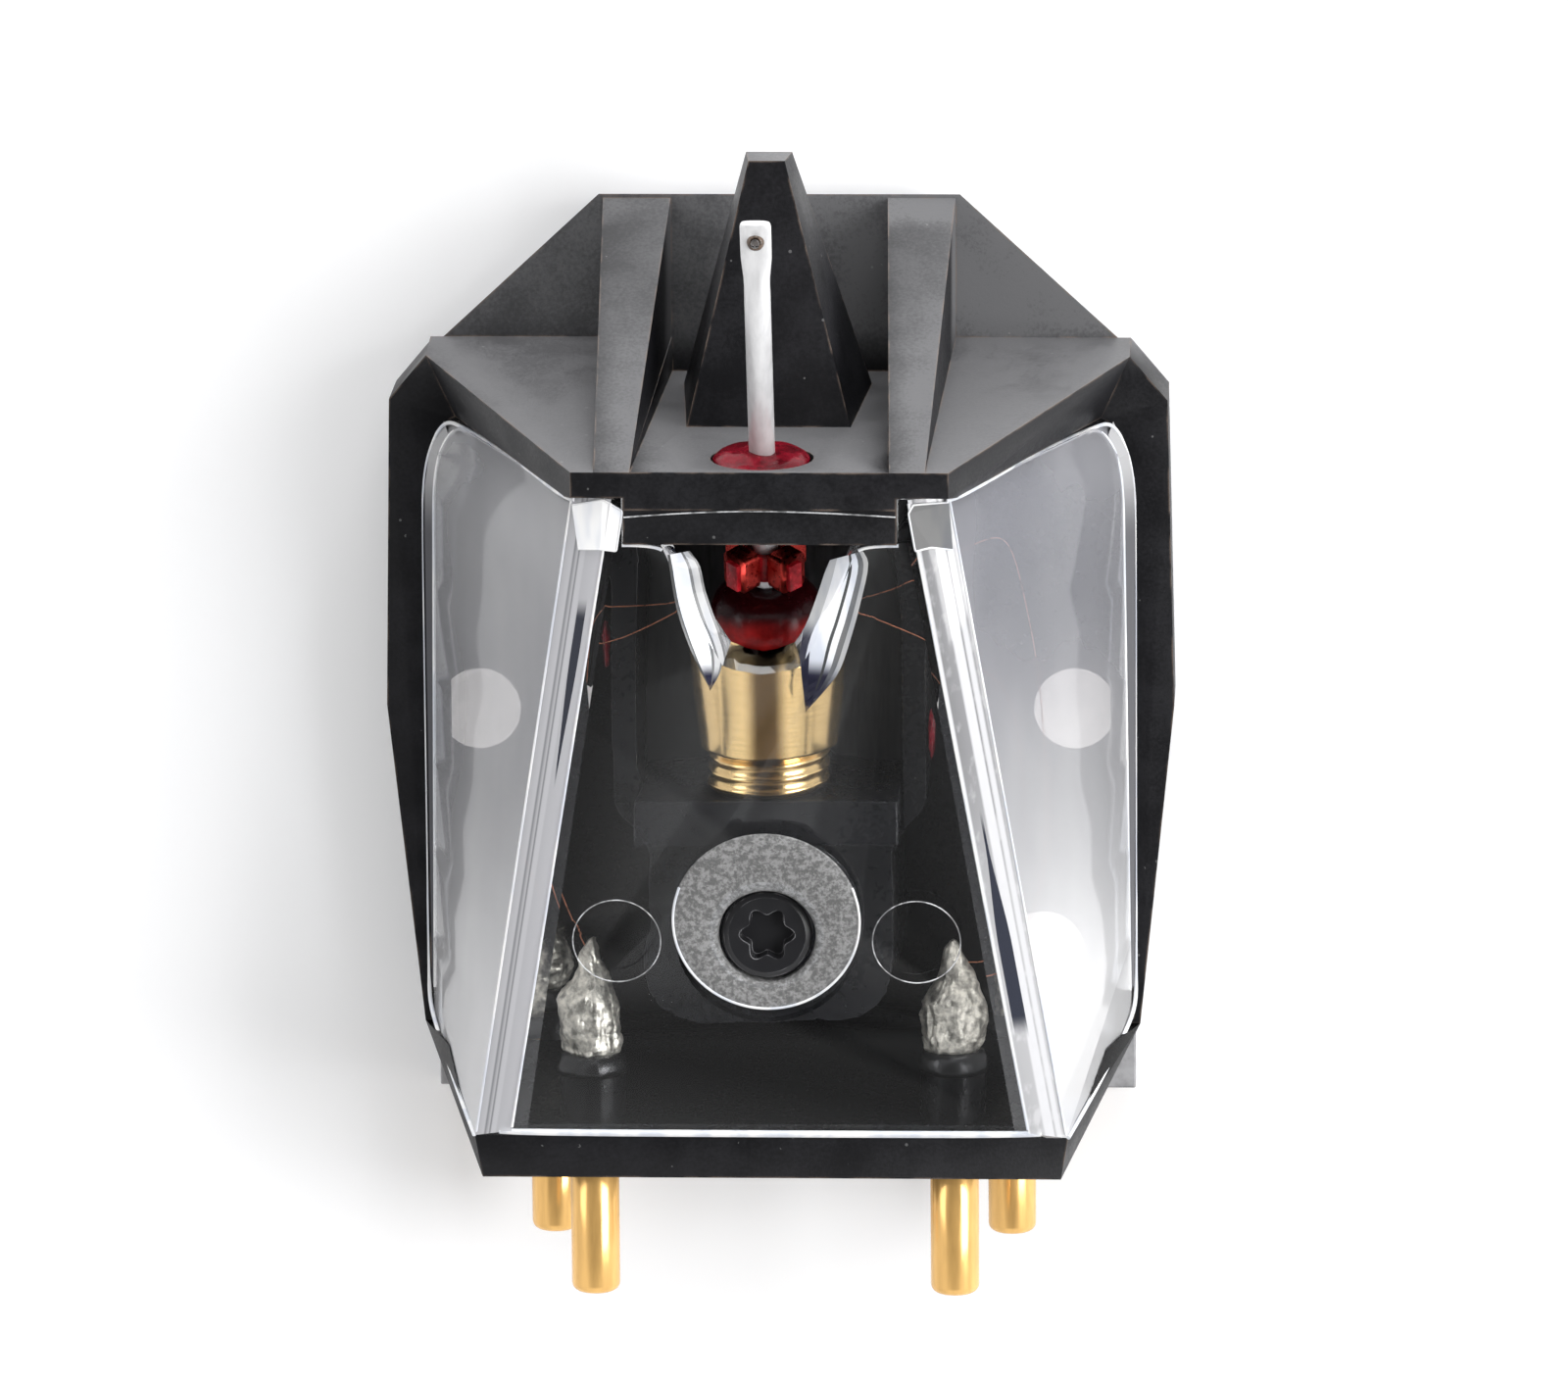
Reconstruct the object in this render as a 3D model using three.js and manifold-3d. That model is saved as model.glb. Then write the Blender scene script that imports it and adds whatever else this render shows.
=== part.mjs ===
// Moving coil phono cartridge: moulded body, clear faceted cover, generator, cantilever and pins.
// Millimetres. Origin on the mounting face, midway between the mounting screws.
// +X right, +Y towards the stylus end, +Z from the mounting face towards the record.

import * as THREE from 'three';
import { ConvexGeometry } from 'three/addons/geometries/ConvexGeometry.js';
import { mergeVertices } from 'three/addons/utils/BufferGeometryUtils.js';
import Module from 'manifold-3d';

const wasm = await Module();
wasm.setup();

// Shared clearances
const seatGap = 0.05;        // between glued or seated faces
const fitGap = 0.04;         // round a pin, screw or barrel in its hole
const overrun = 0.5;         // cutters pass this far beyond a face

// Mounting plate
const plateThick = 0.55;
const plateInset = 0.45;     // inside the tub's outline at the front and sides
const plateTabHalf = 9.15;   // square rear corners that show behind the tub
const plateRearY = -16.3;
const screwSpacing = 12.7;   // half inch between mounting screws
const insertRadius = 1.6;
const insertBore = 1.03;     // minor radius of an M2.5 thread
const insertHeight = 2.0;
const insertFlange = 0.3;
const insertBossWall = 0.45;

// Tub
const shelfTopZ = 1.4;
const rimTopZ = 3.0;
const floorThick = 0.95;
const frontEdgeHalf = 4.66;
const frontEdgeY = 7.7;
const shelfUndercut = 0.25;
const shoulderHalf = 8.72;
const wallFootY = 3.95;
const cornerHalf = 9.06;
const cornerCutHalf = 10.03;
const cornerCutY = 2.62;
const sideHalf = 10.2;
const sideTaperY = -5.45;
const rearCornerHalf = 9.32;
const rearCornerY = -13.9;
const rearWallHalf = 7.4;
const rearWallY = -16.42;
const rearWallTopZ = 9.2;
const ledgeDepth = 0.45;     // the cover sits this far below the rim
const ledgeWidth = 1.0;

// Front wall and bridge
const bridgeTopZ = 12.5;
const bridgeHalf = 4.72;
const bridgeFrontY = 2.7;
const bridgeBarHalf = 3.42;
const bridgeRearY = 0.84;
const bridgeDeep = 1.3;
const bridgeStepY = 1.74;
const bridgeStepDeep = 0.1;
const frontWallThick = 0.68;

// Gusset ribs and the recess between them
const ribInnerFoot = 2.8;
const ribOuterFoot = 4.55;
const ribInnerTop = 3.24;
const ribOuterTop = 4.14;
const ribFrontInset = 0.1;
const recessDepth = 0.9;

// Nose under the cantilever
const noseTopZ = 7.6;
const noseTipHigh = 1.3;
const noseTipHalf = 0.46;
const noseTipY = 9.7;
const noseRootHalf = 2.2;
const noseRootFlare = 0.4;
const noseRootLowZ = 2.4;

// Clear cover
const coverWall = 0.6;
const coverFrontZ = 12.42;
const coverFrontY = 2.0;
const coverRearZ = 9.95;
const coverRearY = -15.0;
const faceFrontHalf = 3.7;
const faceRearHalf = 6.6;
const stripFrontHalf = 4.72;
const stripFrontDrop = 0.45;
const stripRearHalf = 7.55;
const stripRearY = -15.25;
const stripRearDrop = 0.5;
const windowFootHalf = 9.2;
const windowFrontHalf = 8.0;
const windowFrontY = 2.35;
const windowCornerY = 0.2;
const windowRearY = -13.6;
const notchFrontHalf = 2.4;
const notchMidHalf = 1.75;
const notchEndHalf = 0.85;
const notchEndY = -2.25;
const notchDraft = 0.5;
const cornerBlockDeep = 1.3;

// Cover screw and its boss
const screwY = -9.7;
const bossRadius = 2.35;
const bossFootZ = 8.85;
const bossFloor = 0.85;
const screwHeadRadius = 1.14;
const screwHeadHigh = 0.7;
const screwShankRadius = 0.55;
const screwLength = 3.6;
const counterboreGap = 0.18;
const lobeRadius = 0.71;
const lobeWaist = 0.52;
const lobeDeep = 0.4;

// Generator frame, magnet and pole pieces
const frameTopZ = 8.75;
const frameRearHalf = 3.1;
const frameRearY = -12.3;
const frameRearRound = 1.3;
const cheekHalf = 4.0;
const cheekThick = 0.6;
const cheekTopZ = 8.4;
const cheekFrontY = 0.6;
const shoulderFrontY = -6.6;
const shoulderRearY = -7.9;
const rearPoleThick = 1.15;
const rearPoleFrontY = -6.15;
const rearPoleTopZ = 10.4;
const frontPoleThick = 0.95;
const frontPoleRoom = 0.2;   // under the bridge bar
const frontPoleBore = 1.25;
const magnetTopZ = 6.5;

// Suspension barrel
const barrelAxisZ = 8.95;
const barrelFrontY = -2.5;
const barrelFrontRadius = 2.08;
const barrelTaperY = -5.05;
const barrelTaperRadius = 1.79;
const barrelNeckRadius = 1.42;
const threadRadius = 1.55;
const threadPitch = 0.33;
const threadCrests = 3;
const spigotRadius = 1.25;    // the part that sits in the rear pole piece
const barrelLength = 4.75;
const barrelBore = 0.3;
const barrelEdge = 0.12;

// Moving system, along its own leaning axis
const leanAngle = THREE.MathUtils.degToRad(20.5);
const pivotY = -0.5;
const pivotZ = 9.68;
const tubeRadius = 0.33;
const tubeBore = 0.21;
const tubeStart = 0.3;
const tubeEnd = 10.36;
const spadeHalf = 0.39;
const spadeHalfThick = 0.13;
const spadeLength = 1.35;
const spadeNeck = 0.55;
const formerStart = 0.06;
const formerThick = 0.75;
const formerArm = 0.42;
const formerReach = 1.15;
const coilThick = 0.2;
const coilInner = 0.5;
const coilOuter = 1.02;
const pivotSwing = THREE.MathUtils.degToRad(3);   // each way, on both hinges
const stylusBack = 0.55;     // from the spade's end
const stylusRadius = 0.11;
const stylusShank = 0.3;
const stylusCone = 0.2;
const bondRadius = 0.22;
const bondHigh = 0.08;
const tieWireRadius = 0.12;
const tieWireLength = 0.9;
const collarRadius = 0.4;    // crimped on the wire behind the coil former
const collarLength = 0.24;

// Damper and front seal
const damperRadius = 1.45;
const damperBore = 0.22;
const sealRadius = 1.26;
const sealThick = 0.22;
const exitRadius = 0.75;
const exitZ = 10.92;

// Pins, solder and lead wires
const pinRadius = 0.625;
const pinRound = 0.2;
const nearPinHalf = 4.63;
const nearPinZ = 7.6;
const nearPinEndY = -19.85;
const farPinHalf = 5.97;
const farPinZ = 2.95;
const farPinEndY = -19.5;
const pinInnerY = -13.2;
const pinTailRadius = 0.3;
const pinTailLength = 1.3;
const sleeveRadius = 0.85;   // moulded round each pin inside, up to its solder
const solderRadius = 0.9;
const solderLength = 2.4;
const leadRadius = 0.05;
const leadSides = 6;
const leadSteps = 28;
const leadBulge = 1.3;       // outwards past the cheek
const leadApart = 0.25;      // between the two leads of a side
const tackRadius = 0.5;

// Roundness of curved work
const coarseSides = 16;
const roundSides = 28;
const fineSides = 40;

// Places worked out from the driving dimensions
const bodyFootZ = plateThick + seatGap;
const floorTopZ = bodyFootZ + floorThick;
const insideFloorZ = floorTopZ + seatGap;
const ledgeZ = rimTopZ - ledgeDepth;
const wallLean = (wallFootY - bridgeFrontY) / (bridgeTopZ - shelfTopZ);
const wallAngle = Math.atan(wallLean);
const frontPoleTopZ = bridgeTopZ - bridgeDeep - frontPoleRoom;

// Closed mesh to solid and back
function solidOf(geometry) {
  const bare = geometry.clone();
  bare.deleteAttribute('normal');
  bare.deleteAttribute('uv');
  const merged = mergeVertices(bare);
  const vertProperties = new Float32Array(merged.attributes.position.array);
  const triVerts = new Uint32Array(merged.index.array);
  return new wasm.Manifold(new wasm.Mesh({ numProp: 3, vertProperties, triVerts }));
}

function geometryOf(solid) {
  const mesh = solid.getMesh();
  const geometry = new THREE.BufferGeometry();
  geometry.setAttribute('position', new THREE.BufferAttribute(mesh.vertProperties, mesh.numProp));
  geometry.setIndex(new THREE.BufferAttribute(mesh.triVerts, 1));
  geometry.computeVertexNormals();
  return geometry;
}

// Block between two opposite corners
function block(low, high) {
  const size = high.map((value, i) => value - low[i]);
  const middle = high.map((value, i) => (value + low[i]) / 2);
  return solidOf(new THREE.BoxGeometry(...size).translate(...middle));
}

// Faceted solid over its corner points
function faceted(points) {
  return solidOf(new ConvexGeometry(points.map((point) => new THREE.Vector3(...point))));
}

// The same corners on both sides of the middle plane
function bothSides(points) {
  return points.flatMap(([x, y, z]) => [[x, y, z], [-x, y, z]]);
}

// Upright prism on an outline given down its right side, mirrored to the left
function mirroredPrism(rightSide, lowZ, highZ) {
  const leftSide = rightSide.map(([x, y]) => [-x, y]).reverse();
  const outline = [...rightSide, ...leftSide].map(([x, y]) => new THREE.Vector2(x, y));
  const depth = highZ - lowZ;
  const geometry = new THREE.ExtrudeGeometry(new THREE.Shape(outline), { depth, bevelEnabled: false });
  return solidOf(geometry.translate(0, 0, lowZ));
}

// Round bar between two heights on an upright axis
function uprightRod(radius, x, y, lowZ, highZ, sides = roundSides) {
  const geometry = new THREE.CylinderGeometry(radius, radius, highZ - lowZ, sides);
  return solidOf(geometry.rotateX(Math.PI / 2).translate(x, y, (lowZ + highZ) / 2));
}

// Round bar along +Y
function lengthRod(radius, x, z, lowY, highY, sides = roundSides) {
  const geometry = new THREE.CylinderGeometry(radius, radius, highY - lowY, sides);
  return solidOf(geometry.translate(x, (lowY + highY) / 2, z));
}

// Body of revolution about +Y from [radius, y] pairs that start and end on the axis
function turned(profile, sides = roundSides) {
  const points = profile.map(([radius, y]) => new THREE.Vector2(radius, y));
  return solidOf(new THREE.LatheGeometry(points, sides));
}

// Round tool along the leaning axis of the moving system, from one distance to another
function axisRod(radius, from, to) {
  const geometry = new THREE.CylinderGeometry(radius, radius, to - from, roundSides);
  geometry.translate(0, (from + to) / 2, 0).rotateX(leanAngle);
  return solidOf(geometry.translate(0, pivotY, pivotZ));
}

// Front face of the wall at a height, outside the recess and inside it
function wallFaceY(z) {
  return bridgeFrontY + (bridgeTopZ - z) * wallLean;
}

function recessFaceY(z) {
  return wallFaceY(z) - recessDepth * (bridgeTopZ - z) / (bridgeTopZ - shelfTopZ);
}

// Solid between a front and a rear set of corners, in slabs so that its sides turn evenly
const slabShares = [0, 0.17, 0.34, 0.5, 0.67, 0.84, 1];

function drawnOut(front, rear) {
  const station = (share) => front.map((from, i) => from.map((value, j) => {
    return value + (rear[i][j] - value) * share;
  }));
  return slabShares.slice(1).map((share, i) => {
    return faceted(bothSides([...station(slabShares[i]), ...station(share)]));
  }).reduce((whole, slab) => whole.add(slab));
}

// Outer form of the clear cover, grown on every side by a gap where it cuts its seat
const cornerTurnShares = [0.35, 0.7];

function coverForm(grow) {
  const cornerX = windowFootHalf - windowFrontHalf;
  const cornerY = windowFrontY - windowCornerY;
  const turns = cornerTurnShares.map((share) => [
    windowFrontHalf + cornerX * Math.sin(share * Math.PI / 2) + grow,
    windowFrontY - cornerY * (1 - Math.cos(share * Math.PI / 2)) + grow,
    ledgeZ - grow,
  ]);
  const front = [
    [faceFrontHalf, coverFrontY + grow, coverFrontZ + grow],
    [stripFrontHalf + grow, coverFrontY + grow, coverFrontZ - stripFrontDrop],
    [windowFootHalf + grow, windowCornerY, ledgeZ - grow],
  ];
  const rear = [
    [faceRearHalf, coverRearY - grow, coverRearZ + grow],
    [stripRearHalf + grow, stripRearY - grow, coverRearZ - stripRearDrop],
    [windowFootHalf + grow, windowRearY - grow, ledgeZ - grow],
  ];
  const frontCorners = [...front, ...turns, [windowFrontHalf, windowFrontY + grow, ledgeZ - grow]];
  return faceted(bothSides(frontCorners)).add(drawnOut(front, rear));
}

// Hollow under the cover: open below, at the front wall and at the rear wall
function coverHollow() {
  const lower = ledgeZ - overrun;
  const front = [
    [faceFrontHalf - coverWall / 2, coverFrontY + overrun, coverFrontZ - coverWall],
    [stripFrontHalf - coverWall, coverFrontY + overrun, coverFrontZ - stripFrontDrop - coverWall],
    [windowFootHalf - coverWall, windowCornerY, lower],
  ];
  const rear = [
    [faceRearHalf - coverWall / 2, coverRearY - overrun, coverRearZ - coverWall],
    [stripRearHalf - coverWall, stripRearY - overrun, coverRearZ - stripRearDrop - coverWall],
    [windowFootHalf - coverWall, windowRearY - overrun, lower],
  ];
  const frontCorners = [...front, [windowFrontHalf - coverWall, windowFrontY + overrun, lower]];
  return faceted(bothSides(frontCorners)).add(drawnOut(front, rear));
}

// Bar across the top of the front wall, with a shallow step along its rear half
function bridgeBar() {
  const half = bridgeBarHalf;
  const low = bridgeTopZ - bridgeDeep;
  const front = block([-half, bridgeStepY, low], [half, bridgeFrontY - bridgeStepDeep, bridgeTopZ]);
  const lip = block([-half, bridgeRearY, low], [half, bridgeStepY + bridgeStepDeep, bridgeTopZ - bridgeStepDeep]);
  return front.add(lip);
}

// Room for that bar in the cover
function bridgeRoom() {
  const half = bridgeBarHalf + fitGap;
  const low = bridgeTopZ - bridgeDeep - fitGap;
  return block([-half, bridgeRearY - fitGap, low], [half, bridgeFrontY, bridgeTopZ + overrun]);
}

// Moulded body
function tubWalls() {
  const tub = mirroredPrism([
    [cornerHalf, wallFaceY(rimTopZ)],
    [cornerCutHalf, cornerCutY],
    [sideHalf, sideTaperY],
    [rearCornerHalf, rearCornerY],
    [rearWallHalf, rearWallY],
  ], bodyFootZ, rimTopZ);
  const shelf = faceted(bothSides([
    [frontEdgeHalf, frontEdgeY, shelfTopZ],
    [shoulderHalf, wallFootY, shelfTopZ],
    [shoulderHalf, bridgeRearY, shelfTopZ],
    [frontEdgeHalf - shelfUndercut, frontEdgeY - shelfUndercut, bodyFootZ],
    [shoulderHalf - shelfUndercut, wallFootY - shelfUndercut, bodyFootZ],
    [shoulderHalf - shelfUndercut, bridgeRearY, bodyFootZ],
  ]));
  return tub.add(shelf);
}

function frontWall() {
  return faceted(bothSides([
    [cornerHalf, wallFaceY(rimTopZ), rimTopZ],
    [cornerHalf, wallFaceY(shelfTopZ), shelfTopZ],
    [bridgeHalf, bridgeFrontY, bridgeTopZ],
    [windowFrontHalf, windowCornerY, shelfTopZ],
    [windowFrontHalf, windowFrontY, rimTopZ],
    [bridgeHalf, coverFrontY + seatGap, bridgeTopZ],
  ]));
}

function rearWall() {
  return faceted(bothSides([
    [rearWallHalf, rearWallY, bodyFootZ],
    [rearWallHalf, rearWallY, rearWallTopZ],
    [stripRearHalf + seatGap, stripRearY, rearWallTopZ],
    [rearCornerHalf, rearCornerY, rimTopZ],
    [rearCornerHalf, rearCornerY, bodyFootZ],
    [rearWallHalf, rearCornerY, rearWallTopZ],
  ]));
}

function tubCavity() {
  const side = windowFootHalf - ledgeWidth;
  return mirroredPrism([
    [windowFrontHalf - ledgeWidth, coverFrontY],
    [side, windowCornerY - ledgeWidth],
    [side, windowRearY + ledgeWidth],
    [rearWallHalf - ledgeWidth, windowRearY],
  ], floorTopZ, rimTopZ + overrun);
}

function gussetRibs() {
  const front = frontEdgeY - ribFrontInset;
  const rib = [
    [ribInnerFoot, front, shelfTopZ],
    [ribOuterFoot, front, shelfTopZ],
    [ribInnerFoot, coverFrontY + seatGap, bodyFootZ + seatGap],
    [ribOuterFoot, coverFrontY + seatGap, bodyFootZ + seatGap],
    [ribInnerFoot, front - shelfUndercut, bodyFootZ + seatGap],
    [ribOuterFoot, front - shelfUndercut, bodyFootZ + seatGap],
    [ribInnerTop, bridgeFrontY, bridgeTopZ],
    [ribOuterTop, bridgeFrontY, bridgeTopZ],
    [ribInnerTop, bridgeFrontY - frontWallThick / 2, bridgeTopZ],
    [ribOuterTop, bridgeFrontY - frontWallThick / 2, bridgeTopZ],
  ];
  return faceted(rib).add(faceted(rib.map(([x, y, z]) => [-x, y, z])));
}

function frontRecess() {
  return faceted(bothSides([
    [ribInnerFoot, recessFaceY(shelfTopZ), shelfTopZ],
    [ribInnerFoot, frontEdgeY + overrun, shelfTopZ],
    [ribInnerTop, bridgeFrontY, bridgeTopZ],
    [ribInnerTop, bridgeFrontY + overrun, bridgeTopZ],
  ]));
}

function nose() {
  const rootY = recessFaceY(noseTopZ) - overrun;
  return faceted(bothSides([
    [noseTipHalf, noseTipY, noseTopZ],
    [noseTipHalf + shelfUndercut / 2, noseTipY, noseTopZ - noseTipHigh],
    [noseRootHalf, rootY, noseTopZ],
    [noseRootHalf + noseRootFlare, rootY, noseRootLowZ],
  ]));
}

// Pin places: [x, z, outer end, inner end]
const pinPlaces = [
  ['pin_near_left', -nearPinHalf, nearPinZ, nearPinEndY],
  ['pin_near_right', nearPinHalf, nearPinZ, nearPinEndY],
  ['pin_far_left', -farPinHalf, farPinZ, farPinEndY],
  ['pin_far_right', farPinHalf, farPinZ, farPinEndY],
];

function pinRootY(z) {
  return z === nearPinZ ? pinInnerY - pinRadius : pinInnerY;
}

function bodyShell() {
  let body = tubWalls().add(frontWall()).add(rearWall());
  body = body.subtract(tubCavity()).subtract(frontRecess()).add(gussetRibs()).add(nose());
  body = body.subtract(coverForm(seatGap)).add(bridgeBar());
  for (const side of [-1, 1]) {
    const x = side * screwSpacing / 2;
    const bossTop = insertHeight + insertBossWall;
    body = body.add(uprightRod(insertRadius + insertBossWall, x, 0, bodyFootZ, bossTop));
    body = body.subtract(uprightRod(insertRadius + fitGap, x, 0, 0, insertHeight + seatGap));
  }
  body = body.subtract(axisRod(exitRadius, 0, tubeEnd / 2)).subtract(sealPocket());
  for (const [, x, z, outerY] of pinPlaces) {
    body = body.add(lengthRod(sleeveRadius, x, z, stripRearY, pinRootY(z) - seatGap));
    body = body.subtract(lengthRod(pinRadius + fitGap, x, z, outerY, windowRearY + ledgeWidth));
  }
  return body;
}

// Seal disc on the front wall: its frame looks out along the wall's face
const sealPocketDeep = 0.3;

function onWallFace(solid) {
  const geometry = geometryOf(solid).rotateX(wallAngle);
  return solidOf(geometry.translate(0, recessFaceY(exitZ), exitZ));
}

function sealPocket() {
  return onWallFace(lengthRod(sealRadius + fitGap, 0, 0, -sealPocketDeep, overrun));
}

function frontSeal() {
  const inner = fitGap - sealPocketDeep;
  const disc = turned([
    [0, inner],
    [sealRadius, inner],
    [sealRadius, 0],
    [sealRadius * 0.75, sealThick * 0.6],
    [sealRadius * 0.4, sealThick],
    [0, sealThick],
  ], roundSides);
  return onWallFace(disc).subtract(axisRod(tubeRadius + fitGap, 0, tubeEnd / 2));
}

function mountingPlate() {
  let plate = mirroredPrism([
    [frontEdgeHalf - plateInset, frontEdgeY - plateInset],
    [shoulderHalf - plateInset, wallFootY - plateInset],
    [sideHalf - plateInset, cornerCutY - plateInset],
    [sideHalf - plateInset, sideTaperY],
    [plateTabHalf, rearCornerY],
    [plateTabHalf, plateRearY],
  ], 0, plateThick);
  for (const side of [-1, 1]) {
    const hole = uprightRod(insertRadius + fitGap, side * screwSpacing / 2, 0, -overrun, plateThick + overrun);
    plate = plate.subtract(hole);
  }
  return plate;
}

function threadedInsert(side) {
  const x = side * screwSpacing / 2;
  const barrel = uprightRod(insertRadius, x, 0, 0, insertHeight);
  return barrel.subtract(uprightRod(insertBore, x, 0, -overrun, insertHeight + overrun));
}

// Clear cover
function notchTool() {
  const high = coverFrontZ + overrun;
  const low = coverFrontZ - coverWall - cornerBlockDeep;
  const section = (z, widen) => [
    [notchFrontHalf + widen, bridgeRearY + overrun, z],
    [notchMidHalf + widen, bridgeRearY - notchDraft, z],
    [notchEndHalf + widen, notchEndY - widen, z],
    [0, notchEndY - notchDraft / 2 - widen, z],
  ];
  return faceted(bothSides([...section(high, notchDraft), ...section(low, -notchDraft / 2)]));
}

function coverBoss() {
  const high = coverRearZ + overrun;
  const outer = uprightRod(bossRadius, 0, screwY, bossFootZ, high, fineSides);
  return outer.intersect(coverForm(0));
}

function clearCover() {
  let cover = coverForm(0).subtract(coverHollow());
  for (const side of [-1, 1]) {
    const inner = side * (bridgeBarHalf + fitGap);
    const outer = side * stripFrontHalf;
    const low = [Math.min(inner, outer), bridgeRearY - fitGap, coverFrontZ - cornerBlockDeep];
    const high = [Math.max(inner, outer), coverFrontY + overrun, coverFrontZ + overrun];
    cover = cover.add(block(low, high).intersect(coverForm(0)));
  }
  cover = cover.subtract(bridgeRoom()).subtract(notchTool()).add(coverBoss());
  const boreTop = coverFrontZ + overrun;
  const seatZ = bossFootZ + bossFloor;
  cover = cover.subtract(uprightRod(screwHeadRadius + counterboreGap, 0, screwY, seatZ, boreTop, fineSides));
  return cover.subtract(uprightRod(screwShankRadius + fitGap, 0, screwY, bossFootZ - overrun, boreTop));
}

// Six-lobe recess outline
function sixLobe() {
  const lobes = 6;
  const steps = lobes * 8;
  const middle = (lobeRadius + lobeWaist) / 2;
  const swing = (lobeRadius - lobeWaist) / 2;
  const points = Array.from({ length: steps }, (_, i) => {
    const turn = i / steps * 2 * Math.PI;
    const radius = middle + swing * Math.cos(lobes * turn);
    return new THREE.Vector2(radius * Math.cos(turn), radius * Math.sin(turn));
  });
  return new THREE.Shape(points);
}

function coverScrew() {
  const seatZ = bossFootZ + bossFloor + fitGap;
  const topZ = seatZ + screwHeadHigh;
  const head = uprightRod(screwHeadRadius, 0, screwY, seatZ, topZ, fineSides);
  const shank = uprightRod(screwShankRadius, 0, screwY, seatZ - screwLength, topZ - lobeDeep, coarseSides);
  const depth = lobeDeep + overrun;
  const recess = new THREE.ExtrudeGeometry(sixLobe(), { depth, bevelEnabled: false });
  return head.add(shank).subtract(solidOf(recess.translate(0, screwY, topZ - lobeDeep)));
}

// Generator frame: a rear block that takes the screw and two cheeks beside the magnet
function frameOutline() {
  const turns = [0.25, 0.5, 0.75];
  const shoulder = turns.map((share) => [
    cheekHalf - (cheekHalf - frameRearHalf) * (1 - Math.cos(share * Math.PI)) / 2,
    shoulderFrontY + (shoulderRearY - shoulderFrontY) * share,
  ]);
  const corner = turns.map((share) => [
    frameRearHalf - frameRearRound * (1 - Math.cos(share * Math.PI / 2)),
    frameRearY + frameRearRound * (1 - Math.sin(share * Math.PI / 2)),
  ]);
  return [
    [cheekHalf, cheekFrontY],
    [cheekHalf, shoulderFrontY],
    ...shoulder,
    [frameRearHalf, shoulderRearY],
    [frameRearHalf, frameRearY + frameRearRound],
    ...corner,
    [frameRearHalf - frameRearRound, frameRearY],
  ];
}

const slotHalf = cheekHalf - cheekThick;
const slotRearY = rearPoleFrontY - rearPoleThick - seatGap;

function generatorFrame() {
  const cheeks = mirroredPrism(frameOutline(), insideFloorZ, cheekTopZ);
  const rear = mirroredPrism(frameOutline(), insideFloorZ, frameTopZ);
  const rearOnly = rear.intersect(block([-cheekHalf, frameRearY - overrun, 0], [cheekHalf, slotRearY, bridgeTopZ]));
  const slot = block([-slotHalf, slotRearY, 0], [slotHalf, cheekFrontY + overrun, bridgeTopZ]);
  const shankHole = uprightRod(screwShankRadius + fitGap, 0, screwY, frameTopZ - screwLength, bridgeTopZ, coarseSides);
  return cheeks.add(rearOnly).subtract(slot).subtract(shankHole);
}

const poleHalf = slotHalf - seatGap;

function rearPolePiece() {
  const rear = rearPoleFrontY - rearPoleThick;
  const plate = block([-poleHalf, rear, insideFloorZ], [poleHalf, rearPoleFrontY, rearPoleTopZ]);
  const hole = lengthRod(spigotRadius + fitGap, 0, barrelAxisZ, rear - overrun, rearPoleFrontY + overrun);
  return plate.subtract(hole);
}

function frontPolePiece() {
  const front = coverFrontY - seatGap;
  const plate = block([-poleHalf, front - frontPoleThick, insideFloorZ], [poleHalf, front, frontPoleTopZ]);
  return plate.subtract(axisRod(frontPoleBore, -tubeEnd / 2, tubeEnd));
}

function magnet() {
  const front = coverFrontY - seatGap - frontPoleThick - seatGap;
  return block([-poleHalf, rearPoleFrontY + seatGap, insideFloorZ], [poleHalf, front, magnetTopZ]);
}

// Suspension barrel: tapered head, neck and thread, from its rear end forward
function suspensionBarrel() {
  const rearY = barrelFrontY - barrelLength;
  const threadY = rearPoleFrontY + seatGap;
  const thread = Array.from({ length: threadCrests }, (_, i) => {
    const y = threadY + i * threadPitch;
    return [[barrelNeckRadius, y], [threadRadius, y + threadPitch / 2]];
  }).flat();
  const barrel = turned([
    [0, rearY],
    [spigotRadius, rearY],
    [spigotRadius, threadY],
    ...thread,
    [barrelNeckRadius, threadY + threadCrests * threadPitch],
    [barrelNeckRadius, barrelTaperY],
    [barrelTaperRadius - barrelEdge / 2, barrelTaperY],
    [barrelTaperRadius, barrelTaperY + barrelEdge],
    [barrelFrontRadius, barrelFrontY - barrelEdge],
    [barrelFrontRadius - barrelEdge, barrelFrontY],
    [0, barrelFrontY],
  ], fineSides);
  const bore = lengthRod(barrelBore, 0, 0, barrelFrontY - overrun, barrelFrontY + overrun, coarseSides);
  return barrel.subtract(bore).translate(0, 0, barrelAxisZ);
}

// Damper dome between the coil and the barrel, on the leaning axis
function damperRing() {
  const swing = coilOuter * Math.sin(pivotSwing + pivotSwing);
  const front = formerStart - coilThick - swing - fitGap;
  const rear = barrelFrontY - overrun;
  const dome = turned([
    [0, rear],
    [damperRadius, rear],
    [damperRadius, front - damperRadius * 0.75],
    [damperRadius * 0.92, front - damperRadius * 0.4],
    [damperRadius * 0.7, front - damperRadius * 0.12],
    [damperRadius * 0.4, front],
    [0, front],
  ], roundSides);
  const geometry = geometryOf(dome).rotateX(leanAngle).translate(0, pivotY, pivotZ);
  const frontOnly = block(
    [-bridgeHalf, barrelFrontY + seatGap, barrelAxisZ - damperRadius * 2],
    [bridgeHalf, bridgeRearY, coverFrontZ],
  );
  return solidOf(geometry).intersect(frontOnly).subtract(axisRod(damperBore, -tubeEnd / 2, 0));
}

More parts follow.
